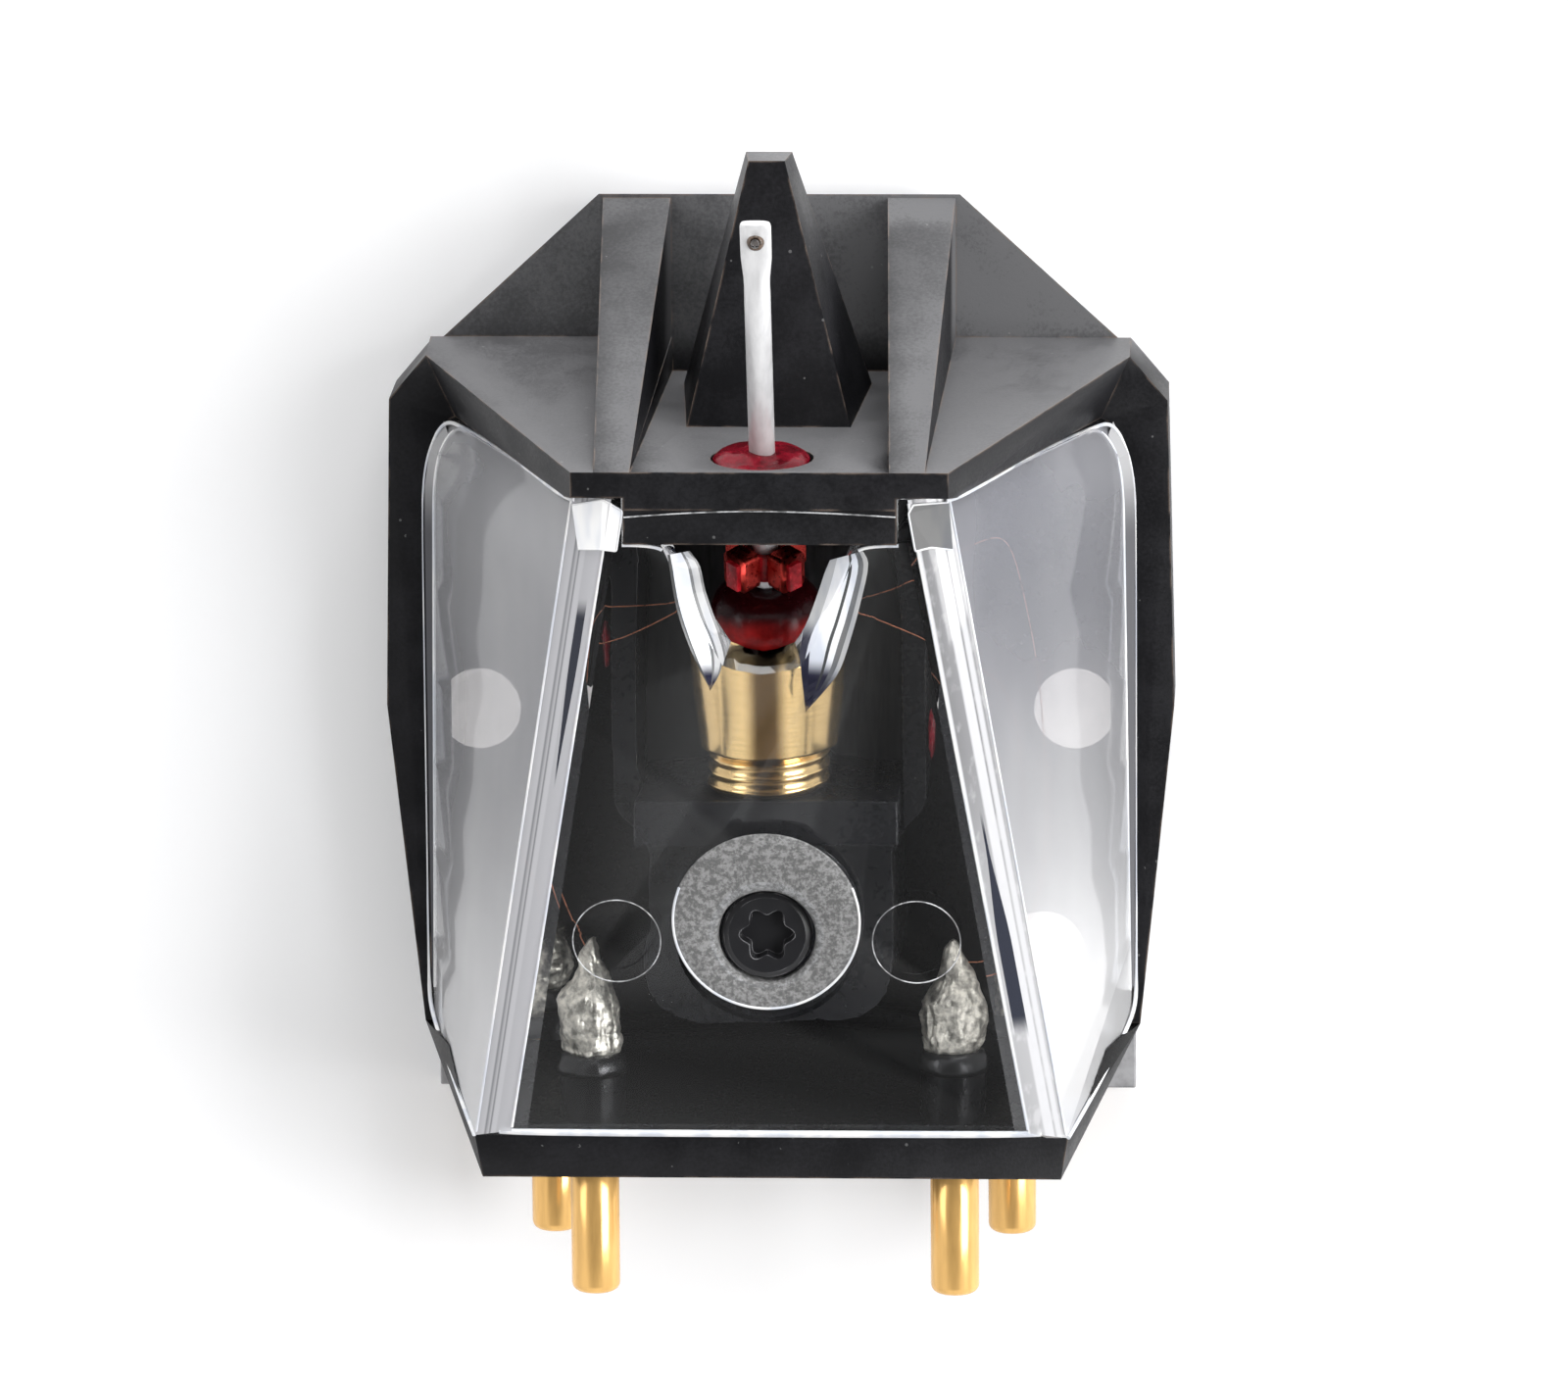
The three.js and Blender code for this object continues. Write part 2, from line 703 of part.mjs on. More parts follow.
// Moving system, modelled along its own +Y with the pivot at zero
function tieWire() {
  const front = formerStart - fitGap / 2;
  const wire = lengthRod(tieWireRadius, 0, 0, -tieWireLength, front, coarseSides);
  return wire.add(lengthRod(collarRadius, 0, 0, front - collarLength, front, coarseSides));
}

const formerEnd = formerStart + formerThick;
const armAngles = [45, 135, 225, 315].map(THREE.MathUtils.degToRad);

function alongArm(solid, angle) {
  return solidOf(geometryOf(solid).rotateY(-angle));
}

function coilFormer() {
  const half = formerArm / 2;
  let former = lengthRod(coilInner, 0, 0, formerStart, formerEnd);
  for (const angle of armAngles) {
    const arm = block([0, formerStart, -half], [formerReach, formerEnd, half]);
    former = former.add(alongArm(arm, angle));
  }
  return former.subtract(lengthRod(tubeRadius + fitGap / 2, 0, 0, tubeStart, formerEnd + overrun));
}

// One winding round an arm of the former
function coil(angle) {
  const middle = (formerStart + formerEnd) / 2;
  const length = coilOuter - coilInner - fitGap;
  const outline = (radius, high) => {
    const shape = new THREE.Shape();
    const round = coilThick * 0.8;
    shape.moveTo(-radius + round, -high);
    shape.lineTo(radius - round, -high);
    shape.quadraticCurveTo(radius, -high, radius, -high + round);
    shape.lineTo(radius, high - round);
    shape.quadraticCurveTo(radius, high, radius - round, high);
    shape.lineTo(-radius + round, high);
    shape.quadraticCurveTo(-radius, high, -radius, high - round);
    shape.lineTo(-radius, -high + round);
    shape.quadraticCurveTo(-radius, -high, -radius + round, -high);
    return shape;
  };
  const width = formerArm / 2 + coilThick;
  const height = formerThick / 2 + coilThick;
  const options = { depth: length, bevelEnabled: false, curveSegments: 4 };
  const ring = new THREE.ExtrudeGeometry(outline(width, height), options);
  ring.rotateY(Math.PI / 2).translate(coilInner + fitGap, middle, 0);
  const hole = block(
    [0, formerStart - fitGap / 2, -formerArm / 2 - fitGap / 2],
    [coilOuter + overrun, formerEnd + fitGap / 2, formerArm / 2 + fitGap / 2],
  );
  return alongArm(solidOf(ring).subtract(hole), angle);
}

// Aluminium tube that flattens into a spade at the stylus end
function cantileverTube() {
  const sides = 20;
  const spadeStart = tubeEnd - spadeLength;
  const stations = [
    [tubeStart + fitGap, tubeRadius, tubeRadius],
    [spadeStart - spadeNeck, tubeRadius, tubeRadius],
    [spadeStart - spadeNeck / 2, tubeRadius * 0.98, tubeRadius * 0.8],
    [spadeStart, spadeHalf * 0.93, spadeHalfThick * 1.4],
    [spadeStart + spadeNeck / 2, spadeHalf, spadeHalfThick],
    [tubeEnd - spadeHalfThick, spadeHalf, spadeHalfThick],
    [tubeEnd, spadeHalf - spadeHalfThick / 2, spadeHalfThick * 0.8],
  ];
  const positions = [];
  for (const [y, wide, thick] of stations) {
    for (let i = 0; i < sides; i += 1) {
      const turn = i / sides * 2 * Math.PI;
      const flat = 1 - (tubeRadius - Math.min(thick, tubeRadius)) / tubeRadius * 0.5;
      const bulge = Math.abs(Math.cos(turn)) ** flat * Math.sign(Math.cos(turn));
      positions.push(wide * bulge, y, thick * Math.sin(turn));
    }
  }
  const last = stations.length - 1;
  const rearMiddle = stations.length * sides;
  positions.push(0, stations[0][0], 0, 0, stations[last][0], 0);
  const faces = [];
  for (let i = 0; i < sides; i += 1) {
    const next = (i + 1) % sides;
    faces.push(rearMiddle, i, next);
    faces.push(rearMiddle + 1, last * sides + next, last * sides + i);
    for (let j = 0; j < last; j += 1) {
      const near = j * sides;
      const far = near + sides;
      faces.push(near + i, far + i, near + next, near + next, far + i, far + next);
    }
  }
  const tube = new THREE.BufferGeometry();
  tube.setAttribute('position', new THREE.Float32BufferAttribute(positions, 3));
  tube.setIndex(faces);
  const boreEnd = tubeEnd - spadeLength - spadeNeck;
  const bore = lengthRod(tubeBore, 0, 0, tubeStart - overrun, boreEnd, coarseSides);
  return solidOf(tube).subtract(bore).subtract(uprightStylusTool(stylusRadius + fitGap / 2));
}

// The stylus stands square to the record, so it leans back against the tube
const stylusY = tubeEnd - stylusBack;

function squareToRecord(solid) {
  return solidOf(geometryOf(solid).rotateX(-leanAngle).translate(0, stylusY, 0));
}

function uprightStylusTool(radius) {
  return squareToRecord(uprightRod(radius, 0, 0, -spadeHalf, spadeHalf, coarseSides));
}

function stylusTip() {
  const foot = -spadeHalfThick * 1.6;
  const neck = spadeHalfThick + stylusShank;
  const tip = turned([
    [0, foot],
    [stylusRadius, foot],
    [stylusRadius, neck],
    [stylusRadius / 6, neck + stylusCone],
    [0, neck + stylusCone * 1.05],
  ], coarseSides);
  return squareToRecord(solidOf(geometryOf(tip).rotateX(Math.PI / 2)));
}

function stylusBond() {
  const base = spadeHalfThick + fitGap / 2;
  const ring = turned([
    [0, base],
    [bondRadius, base],
    [bondRadius * 0.8, base + bondHigh],
    [0, base + bondHigh * 1.5],
  ], coarseSides);
  const upright = solidOf(geometryOf(ring).rotateX(Math.PI / 2).translate(0, stylusY, 0));
  return upright.subtract(uprightStylusTool(stylusRadius + fitGap / 2));
}

// Pins, each with a thin tail inside the body
function pin([, x, z, outerY], innerY) {
  return turned([
    [0, outerY],
    [pinRadius - pinRound, outerY],
    [pinRadius - pinRound * 0.3, outerY + pinRound * 0.3],
    [pinRadius, outerY + pinRound],
    [pinRadius, innerY],
    [pinTailRadius, innerY],
    [pinTailRadius, innerY + pinTailLength],
    [0, innerY + pinTailLength],
  ]).translate(x, 0, z);
}

// Solder over the tail, drawn out to a point where the lead wire enters
function solder([, x, z], innerY) {
  const rear = innerY + fitGap;
  const shares = [[0.75, 0], [0.96, 0.12], [1, 0.38], [0.86, 0.66], [0.55, 0.86], [0.25, 1]];
  const blob = turned([
    [0, rear],
    ...shares.map(([radius, along]) => [solderRadius * radius, rear + solderLength * along]),
    [0, rear + solderLength],
  ], coarseSides);
  const socket = lengthRod(pinTailRadius + fitGap / 2, 0, 0, rear - overrun, innerY + pinTailLength + fitGap);
  return blob.subtract(socket).translate(x, 0, z);
}

// Fine wire from the damper over the cheek to a pin
function leadWire(side, pinHalf, pinZ, endY, rise) {
  const route = [
    [damperRadius + tackRadius, pivotY - damperRadius / 2, pivotZ + rise],
    [slotHalf, pivotY - damperRadius, cheekTopZ + tackRadius + rise],
    [cheekHalf + leadBulge, barrelFrontY - rise, cheekTopZ + rise],
    [cheekHalf + leadBulge + rise, barrelTaperY - tackRadius, (cheekTopZ + pinZ) / 2 + rise],
    [pinHalf, endY + solderRadius, pinZ],
    [pinHalf, endY + fitGap, pinZ],
  ];
  const curve = new THREE.CatmullRomCurve3(route.map(([x, y, z]) => new THREE.Vector3(side * x, y, z)));
  const section = new THREE.Shape(Array.from({ length: leadSides }, (_, i) => {
    const turn = i / leadSides * 2 * Math.PI;
    return new THREE.Vector2(leadRadius * Math.cos(turn), leadRadius * Math.sin(turn));
  }));
  return new THREE.ExtrudeGeometry(section, { steps: leadSteps, extrudePath: curve, bevelEnabled: false });
}

// Dab of varnish that tacks the leads to a cheek
function varnishTack(side, y) {
  const dab = new THREE.SphereGeometry(tackRadius, coarseSides, coarseSides / 2);
  dab.scale(0.25, 1, 0.7).translate(side * (cheekHalf + fitGap), y, cheekTopZ - tackRadius);
  const cheek = block([-cheekHalf - fitGap, rearWallY, 0], [cheekHalf + fitGap, frontEdgeY, bridgeTopZ]);
  return solidOf(dab).subtract(cheek);
}

// Colours and finishes
const finishes = {
  black: { color: 0x1b1b1e, roughness: 0.45, metalness: 0 },
  grey: { color: 0x8a8a8c, roughness: 0.5, metalness: 0.6 },
  clear: { color: 0xdfe3e8, roughness: 0.05, metalness: 0, transparent: true, opacity: 0.35 },
  screwBlack: { color: 0x101012, roughness: 0.35, metalness: 0.7 },
  iron: { color: 0x232325, roughness: 0.5, metalness: 0.6 },
  brass: { color: 0xd9b56a, roughness: 0.25, metalness: 1 },
  gold: { color: 0xe2a53c, roughness: 0.2, metalness: 1 },
  aluminium: { color: 0xb9bbbd, roughness: 0.3, metalness: 1 },
  lacquer: { color: 0xa30f1c, roughness: 0.25, metalness: 0 },
  rubber: { color: 0x4a0709, roughness: 0.35, metalness: 0 },
  diamond: { color: 0x3a3632, roughness: 0.1, metalness: 0 },
  solder: { color: 0xb5b3ab, roughness: 0.35, metalness: 0.9 },
  copper: { color: 0xc07a4c, roughness: 0.35, metalness: 1 },
};

const cartridge = new THREE.Group();

function addPiece(name, shape, finish, parent = cartridge) {
  const geometry = shape.isBufferGeometry ? shape : geometryOf(shape);
  const mesh = new THREE.Mesh(geometry, new THREE.MeshStandardMaterial(finishes[finish]));
  mesh.name = name;
  parent.add(mesh);
}

addPiece('body_shell', bodyShell(), 'black');
addPiece('mounting_plate', mountingPlate(), 'grey');
addPiece('insert_left', threadedInsert(-1), 'brass');
addPiece('insert_right', threadedInsert(1), 'brass');
addPiece('clear_cover', clearCover(), 'clear');
addPiece('cover_screw', coverScrew(), 'screwBlack');
addPiece('front_seal', frontSeal(), 'lacquer');
addPiece('generator_frame', generatorFrame(), 'black');
addPiece('magnet', magnet(), 'iron');
addPiece('front_pole_piece', frontPolePiece(), 'iron');
addPiece('rear_pole_piece', rearPolePiece(), 'iron');
addPiece('suspension_barrel', suspensionBarrel(), 'brass');
addPiece('damper_ring', damperRing(), 'rubber');

for (const place of pinPlaces) {
  const [name, x, z] = place;
  const innerY = pinRootY(z);
  const solderEndY = innerY + fitGap + solderLength;
  const wire = leadWire(Math.sign(x), Math.abs(x), z, solderEndY, z === nearPinZ ? leadApart : 0);
  addPiece(name, pin(place, innerY), 'gold');
  addPiece(name.replace('pin', 'solder'), solder(place, innerY), 'solder');
  addPiece(name.replace('pin', 'lead'), wire, 'copper');
}

addPiece('varnish_tack_left', varnishTack(-1, barrelFrontY), 'lacquer');
addPiece('varnish_tack_right', varnishTack(1, barrelTaperY), 'lacquer');

const movingSystem = new THREE.Group();
movingSystem.position.set(0, pivotY, pivotZ);
movingSystem.rotation.x = leanAngle;
cartridge.add(movingSystem);

addPiece('tie_wire', tieWire(), 'brass', movingSystem);
addPiece('coil_former', coilFormer(), 'lacquer', movingSystem);
armAngles.forEach((angle, i) => {
  const place = ['upper_right', 'upper_left', 'lower_left', 'lower_right'][i];
  addPiece(`coil_${place}`, coil(angle), 'lacquer', movingSystem);
});
addPiece('cantilever_tube', cantileverTube(), 'aluminium', movingSystem);
addPiece('stylus_tip', stylusTip(), 'diamond', movingSystem);
addPiece('stylus_bond', stylusBond(), 'lacquer', movingSystem);

export default cartridge;
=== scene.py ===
"""Dresses a moving coil phono cartridge: camera, studio, finishes and the fine forms of its pieces."""
import math

import bmesh
import bpy
from mathutils import Matrix, Vector, noise


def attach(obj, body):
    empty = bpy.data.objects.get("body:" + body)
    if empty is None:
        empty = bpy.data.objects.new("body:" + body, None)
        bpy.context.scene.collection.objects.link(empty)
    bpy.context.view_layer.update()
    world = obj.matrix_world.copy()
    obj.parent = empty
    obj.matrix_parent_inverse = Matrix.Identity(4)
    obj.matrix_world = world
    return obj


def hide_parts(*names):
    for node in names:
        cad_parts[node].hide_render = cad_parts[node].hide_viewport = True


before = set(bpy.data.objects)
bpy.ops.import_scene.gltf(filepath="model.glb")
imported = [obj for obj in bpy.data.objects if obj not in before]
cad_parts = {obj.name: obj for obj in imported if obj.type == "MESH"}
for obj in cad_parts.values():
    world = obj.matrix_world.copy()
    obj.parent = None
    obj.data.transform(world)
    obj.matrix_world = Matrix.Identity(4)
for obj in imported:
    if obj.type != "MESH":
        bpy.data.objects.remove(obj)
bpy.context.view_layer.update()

bl_info = {
    "name": "Phono Cartridge Dresser",
    "version": (1, 0, 0),
    "blender": (4, 5, 0),
    "location": "3D View > Sidebar > Cartridge",
    "description": "Builds the finished look of a moving coil phono cartridge around its CAD frame",
    "category": "Object",
}

MM = 0.001
BODY = "cartridge_body"
MOVING = "moving_system"

# The photograph's view: angles in degrees, lengths in millimetres
VIEW_TILT, VIEW_SIDE, VIEW_ROLL = 13.0, 2.8, -0.2
VIEW_MIDDLE = -5.638
VIEW_DISTANCE = 300
PIXELS_PER_MM = 39.2
PHOTO_WIDTH = 1600
SENSOR_WIDTH = 36.0

# Looks of acrylic and dust, and the middle line of the cover's strips: metres from the centre, and its slope
ACRYLIC_IOR = 1.49
DUST = (0.4, 0.4, 0.4, 1)
STRIP_MIDDLE, STRIP_SPREAD = 0.00421, 0.1673


# Properties: the sizes and colours that a user would change

def colour(label, words, value):
    return bpy.props.FloatVectorProperty(
        name=label, description=words, subtype="COLOR", size=4, min=0, max=1, default=value)


def length(label, words, millimetres):
    return bpy.props.FloatProperty(
        name=label, description=words, unit="LENGTH", min=0, precision=6, default=millimetres * MM)


class CartridgeColours(bpy.types.PropertyGroup):
    """Colours of the cartridge's finishes"""

    moulding: colour("Moulding", "Satin black of the tub, wall and ribs", (0.0058, 0.0058, 0.007, 1))
    # Painted sheen: the light grey that the moulding's front faces and shelf are given
    front_sheen: colour("Painted front sheen", "Painted grey sheen on the front faces and shelf", (0.125, 0.125, 0.13, 1))
    worn_edge: colour("Worn edge", "Brownish light line on worn edges", (0.20, 0.15, 0.12, 1))
    inner_black: colour("Inner black", "Smooth black of the generator's frame", (0.0065, 0.0065, 0.0075, 1))
    clear: colour("Clear cover", "Faint blue of the clear acrylic", (0.97, 0.98, 1.0, 1))
    gilt: colour("Gilt", "Pale gold of the suspension barrel", (1.0, 0.71, 0.33, 1))
    gold: colour("Gold", "Deep gold of the pins", (1.0, 0.60, 0.20, 1))
    lacquer: colour("Lacquer", "Bright red of the seal and varnish", (0.20, 0.003, 0.013, 1))
    damper: colour("Damper", "Dark red of the damper", (0.26, 0.008, 0.008, 1))
    solder: colour("Solder", "Grey of the solder", (0.84, 0.80, 0.70, 1))
    copper: colour("Copper", "Brown of the fine leads", (0.42, 0.16, 0.09, 1))
    tube: colour("Tube", "Silver of the cantilever", (0.84, 0.84, 0.85, 1))
    plate: colour("Plate", "Grey of the mounting plate", (0.36, 0.36, 0.37, 1))
    floor: colour("Floor", "Plain floor under the object", (0.88, 0.88, 0.89, 1))


class CartridgeSizes(bpy.types.PropertyGroup):
    """Sizes of the fine forms"""

    edge_round: length("Edge round", "Width of the rounding on moulded edges", 0.07)
    cover_round: length("Cover round", "Width of the rounding on the cover's edges", 0.10)
    plate_round: length("Plate round", "Width of the rounding on the plate's edges", 0.05)
    bead: length("Bead", "Radius of the glue bead along the bridge", 0.022)
    ring_wire: length("Ring", "Radius of the ejector rings' fine lip", 0.016)


def colours():
    return bpy.context.scene.cartridge_colours


def sizes():
    return bpy.context.scene.cartridge_sizes


# Node helpers: most of them take the tree from the sockets that they are given

def feed(slot, value):
    """Links a socket to a slot, or sets the slot's own value."""
    if isinstance(value, bpy.types.NodeSocket):
        slot.id_data.links.new(value, slot)
    else:
        slot.default_value = value


def node(tree, kind, **inputs):
    """A shader node with its named inputs fed."""
    made = tree.nodes.new(kind)
    for name, value in inputs.items():
        feed(made.inputs[name.replace("_", " ")], value)
    return made


def tree_of(*values):
    return next(value.id_data for value in values if isinstance(value, bpy.types.NodeSocket))


def maths(operation, *values):
    """A Math node on sockets or numbers."""
    made = tree_of(*values).nodes.new("ShaderNodeMath")
    made.operation = operation
    for slot, value in zip(made.inputs, values):
        feed(slot, value)
    return made.outputs[0]


def total(first, *others):
    for other in others:
        first = maths("ADD", first, other)
    return first


def product(first, *others):
    for other in others:
        first = maths("MULTIPLY", first, other)
    return first


def ramp(source, low, high, start=0.0, end=1.0):
    """Maps a value's range smoothly onto another."""
    made = node(
        source.id_data, "ShaderNodeMapRange", Value=source, From_Min=low, From_Max=high, To_Min=start, To_Max=end)
    made.interpolation_type = "SMOOTHSTEP"
    return made.outputs["Result"]


def mixed(mask, first, second):
    """A colour mix of sockets or colours by a mask."""
    made = tree_of(mask, first, second).nodes.new("ShaderNodeMix")
    made.data_type = "RGBA"
    for slot, value in ((0, mask), (6, first), (7, second)):
        feed(made.inputs[slot], value)
    return made.outputs[2]


def blended(mask, first, second):
    """A mix of two shaders by a mask."""
    made = mask.id_data.nodes.new("ShaderNodeMixShader")
    for slot, value in zip(made.inputs, (mask, first, second)):
        feed(slot, value)
    return made.outputs[0]


def object_place(tree, scale=(1, 1, 1)):
    """Object coordinates, stretched by a scale."""
    place = node(tree, "ShaderNodeTexCoord").outputs["Object"]
    return node(tree, "ShaderNodeMapping", Vector=place, Scale=scale).outputs["Vector"]


def axes(tree):
    """The three object coordinates as values."""
    place = node(tree, "ShaderNodeTexCoord").outputs["Object"]
    return node(tree, "ShaderNodeSeparateXYZ", Vector=place).outputs[:]


def noise_value(place, scale, detail=3.0, rough=0.5):
    made = node(place.id_data, "ShaderNodeTexNoise", Vector=place, Scale=scale, Detail=detail, Roughness=rough)
    return made.outputs["Fac"]


def shaded(colour, by):
    """A colour made darker or lighter."""
    return [value * by for value in colour[:3]] + [1]


# Shared effects as node groups

def new_group(name, inputs, outputs):
    """A node group's tree, its given values and the slots of its results."""
    tree = bpy.data.node_groups.new(name, "ShaderNodeTree")
    for label, value in inputs.items():
        kind = "NodeSocketVector" if isinstance(value, tuple) else "NodeSocketFloat"
        tree.interface.new_socket(label, in_out="INPUT", socket_type=kind).default_value = value
    for label in outputs:
        tree.interface.new_socket(label, in_out="OUTPUT", socket_type="NodeSocketFloat")
    return tree, tree.nodes.new("NodeGroupInput").outputs, tree.nodes.new("NodeGroupOutput").inputs


def edge_wear_group():
    """Mask of worn edges, broken up by a noise."""
    tree, given, out = new_group("edge wear", {"Width": 0.00008, "Breakup Scale": 900.0}, ["Mask"])
    rounded = node(tree, "ShaderNodeBevel", Radius=given["Width"])
    rounded.samples = 4
    along = tree.nodes.new("ShaderNodeVectorMath")
    along.operation = "DOT_PRODUCT"
    feed(along.inputs[0], rounded.outputs["Normal"])
    feed(along.inputs[1], node(tree, "ShaderNodeNewGeometry").outputs["Normal"])
    turned = maths("SUBTRACT", 1.0, along.outputs["Value"])
    patches = ramp(noise_value(object_place(tree), given["Breakup Scale"], 2.0), 0.38, 0.62)
    feed(out["Mask"], product(ramp(turned, 0.01, 0.12), patches))


def grain_group():
    """Fine mottling: a value about 0.5 and a height."""
    tree, given, out = new_group("fine grain", {"Scale": 9000.0, "Patch Scale": 700.0}, ["Mottle", "Height"])
    place = object_place(tree)
    fine = noise_value(place, given["Scale"], 4.0, 0.65)
    feed(out["Mottle"], product(total(fine, noise_value(place, given["Patch Scale"])), 0.5))
    feed(out["Height"], fine)


def specks_group():
    """Mask of scattered dust specks."""
    tree, given, out = new_group("dust specks", {"Scale": 2600.0, "Reach": 0.12}, ["Mask"])
    place = object_place(tree)
    cells = node(tree, "ShaderNodeTexVoronoi", Vector=place, Scale=given["Scale"])
    near = maths("LESS_THAN", cells.outputs["Distance"], given["Reach"])
    chosen = maths("GREATER_THAN", noise_value(place, 1900.0, 2.0), 0.58)
    feed(out["Mask"], product(near, chosen))


def scratches_group():
    """Fine scratches across one axis, as a value and a height."""
    tree, given, out = new_group("fine scratches", {"Stretch": (1.0, 1.0, 1.0), "Scale": 6000.0}, ["Value", "Height"])
    fit = tree.nodes.new("ShaderNodeVectorMath")
    fit.operation = "MULTIPLY"
    feed(fit.inputs[0], node(tree, "ShaderNodeTexCoord").outputs["Object"])
    feed(fit.inputs[1], given["Stretch"])
    lines = noise_value(fit.outputs["Vector"], given["Scale"], 3.0, 0.6)
    feed(out["Value"], lines)
    feed(out["Height"], lines)


def use_group(tree, name, **values):
    """The results of a node group with its values set."""
    made = tree.nodes.new("ShaderNodeGroup")
    made.node_tree = bpy.data.node_groups[name]
    for label, value in values.items():
        made.inputs[label.replace("_", " ")].default_value = value
    return made.outputs


# Materials

def new_material(name):
    made = bpy.data.materials.new(name)
    made.use_nodes = True
    return made, made.node_tree


def finished(made, **looks):
    """The material with the named inputs of its shader fed."""
    for name, value in looks.items():
        feed(made.node_tree.nodes["Principled BSDF"].inputs[name.replace("_", " ")], value)
    return made


def bump(height, strength, distance):
    made = node(height.id_data, "ShaderNodeBump", Strength=strength, Distance=distance, Height=height)
    return made.outputs["Normal"]


def moulded_black():
    """Satin black moulding with mottling, worn edges and dust, and a painted sheen on its front faces and shelf."""
    made, tree = new_material("moulded black")
    grain = use_group(tree, "fine grain", Scale=11000.0, Patch_Scale=650.0)
    wear = use_group(tree, "edge wear", Width=0.00009, Breakup_Scale=1300.0)
    dust = use_group(tree, "dust specks", Scale=2300.0, Reach=0.10)
    base = colours().moulding
    tint = mixed(ramp(grain["Mottle"], 0.40, 0.66), base, shaded(base, 1.9))
    # Painted sheen: faces that look forward, and the shelf, turn a lighter grey in patches, more so towards the right
    # and higher up
    normal = node(tree, "ShaderNodeNewGeometry").outputs["Normal"]
    front = ramp(node(tree, "ShaderNodeSeparateXYZ", Vector=normal).outputs["Y"], 0.70, 1.0)
    across, along, height = axes(tree)
    shelf = product(
        ramp(along, 0.0030, 0.0045), ramp(height, 0.0035, 0.0020), ramp(across, -0.006, 0.008, 0.70, 1.30))
    front_sheen = product(
        maths("MAXIMUM", front, shelf), ramp(grain["Mottle"], 0.36, 0.64, 0.66, 1.14),
        ramp(height, 0.004, 0.010, 1.0, 1.4))
    tint = mixed(front_sheen, tint, colours().front_sheen)
    tint = mixed(product(wear["Mask"], 0.8), tint, colours().worn_edge)
    return finished(
        made, Base_Color=mixed(product(dust["Mask"], 0.22), tint, DUST),
        Roughness=ramp(grain["Mottle"], 0.35, 0.65, 0.36, 0.52), Specular_IOR_Level=0.24,
        Normal=bump(grain["Height"], 0.35, 0.000012))


def inner_black(name, base, level, specks):
    """Smooth black plastic under the cover."""
    made, tree = new_material(name)
    grain = use_group(tree, "fine grain", Scale=5000.0, Patch_Scale=400.0)
    dust = use_group(tree, "dust specks", Scale=2900.0, Reach=0.08)
    return finished(
        made, Base_Color=mixed(product(dust["Mask"], specks), base, (0.35, 0.35, 0.36, 1)),
        Roughness=ramp(grain["Mottle"], 0.35, 0.65, 0.22, 0.34), Specular_IOR_Level=level,
        Normal=bump(grain["Height"], 0.015, 0.000004))


def let_lamps_through(made, tint):
    """Gives a material a see-through way for shadow rays."""
    tree = made.node_tree
    shadow = node(tree, "ShaderNodeLightPath").outputs["Is Shadow Ray"]
    open_way = node(tree, "ShaderNodeBsdfTransparent", Color=(*tint, 1)).outputs[0]
    both = blended(shadow, tree.nodes["Principled BSDF"].outputs[0], open_way)
    feed(tree.nodes["Material Output"].inputs["Surface"], both)
    return made


def clear_acrylic():
    """Clear acrylic that lets lamps through to what it covers."""
    made, _ = new_material("clear acrylic")
    finished(
        made, Base_Color=colours().clear, Transmission_Weight=1.0, IOR=ACRYLIC_IOR, Specular_IOR_Level=0.28,
        Roughness=0.0)
    return let_lamps_through(made, (0.93, 0.94, 0.95))


def window_painted_reflection(name, opacity):
    """Side windows: a see-through wall with a painted pale reflection over it, paler and less see-through towards the
    rear, and paler towards the right.
    """
    made, tree = new_material(name)
    across, along, _ = axes(tree)
    # Painted reflection: the tone is paler towards the rear and the right, a little paler ahead on the left and darker
    # ahead on the right, and varies in soft clouds
    rear = product(ramp(across, -0.004, 0.006), ramp(along, -0.008, -0.0135, 0.0, 0.25))
    ahead = product(ramp(across, -0.006, 0.006, 0.16, -0.12), ramp(along, -0.006, 0.0))
    clouds = noise_value(object_place(tree, (1.0, 0.45, 0.7)), 240.0)
    tone = total(ramp(along, -0.001, -0.0135, 0.42, 0.80), rear, ahead, ramp(clouds, 0.3, 0.7, -0.08, 0.08))
    return finished(
        made, Base_Color=mixed(tone, (0.12, 0.125, 0.17, 1), (0.97, 0.97, 0.98, 1)), Roughness=0.08,
        Alpha=product(ramp(along, -0.006, -0.0135, 0.52, 0.74), opacity))


def rim_band():
    """Polished foot of the windows between its two bright lines, with a painted reflection that is paler towards the
    front and the right.
    """
    made, tree = new_material("window foot")
    across, along, _ = axes(tree)
    tone = total(ramp(across, -0.004, 0.006, 0.03, 0.10), ramp(along, -0.0010, 0.0012, 0.0, 0.34))
    return finished(made, Base_Color=mixed(tone, (0.02, 0.02, 0.03, 1), (0.95, 0.95, 0.96, 1)), Roughness=0.15)


def grey_bands(place, spots):
    """Pale bands along a value, from pairs of a place and a level."""
    made = node(place.id_data, "ShaderNodeValToRGB", Fac=place)
    bands = made.color_ramp.elements
    while len(bands) < len(spots):
        bands.new(0.5)
    for band, (spot, level) in zip(bands, spots):
        band.position = spot
        band.color = (level, level, min(1.0, level * 1.03), 1)
    return made.outputs["Color"]


def streak(place, along, middle, taper, *fades):
    """Mask of a tapered streak that fades at both ends."""
    near = maths("LESS_THAN", maths("ABSOLUTE", maths("SUBTRACT", place, middle)), ramp(along, *taper))
    return product(near, *(ramp(along, *fade) for fade in fades))


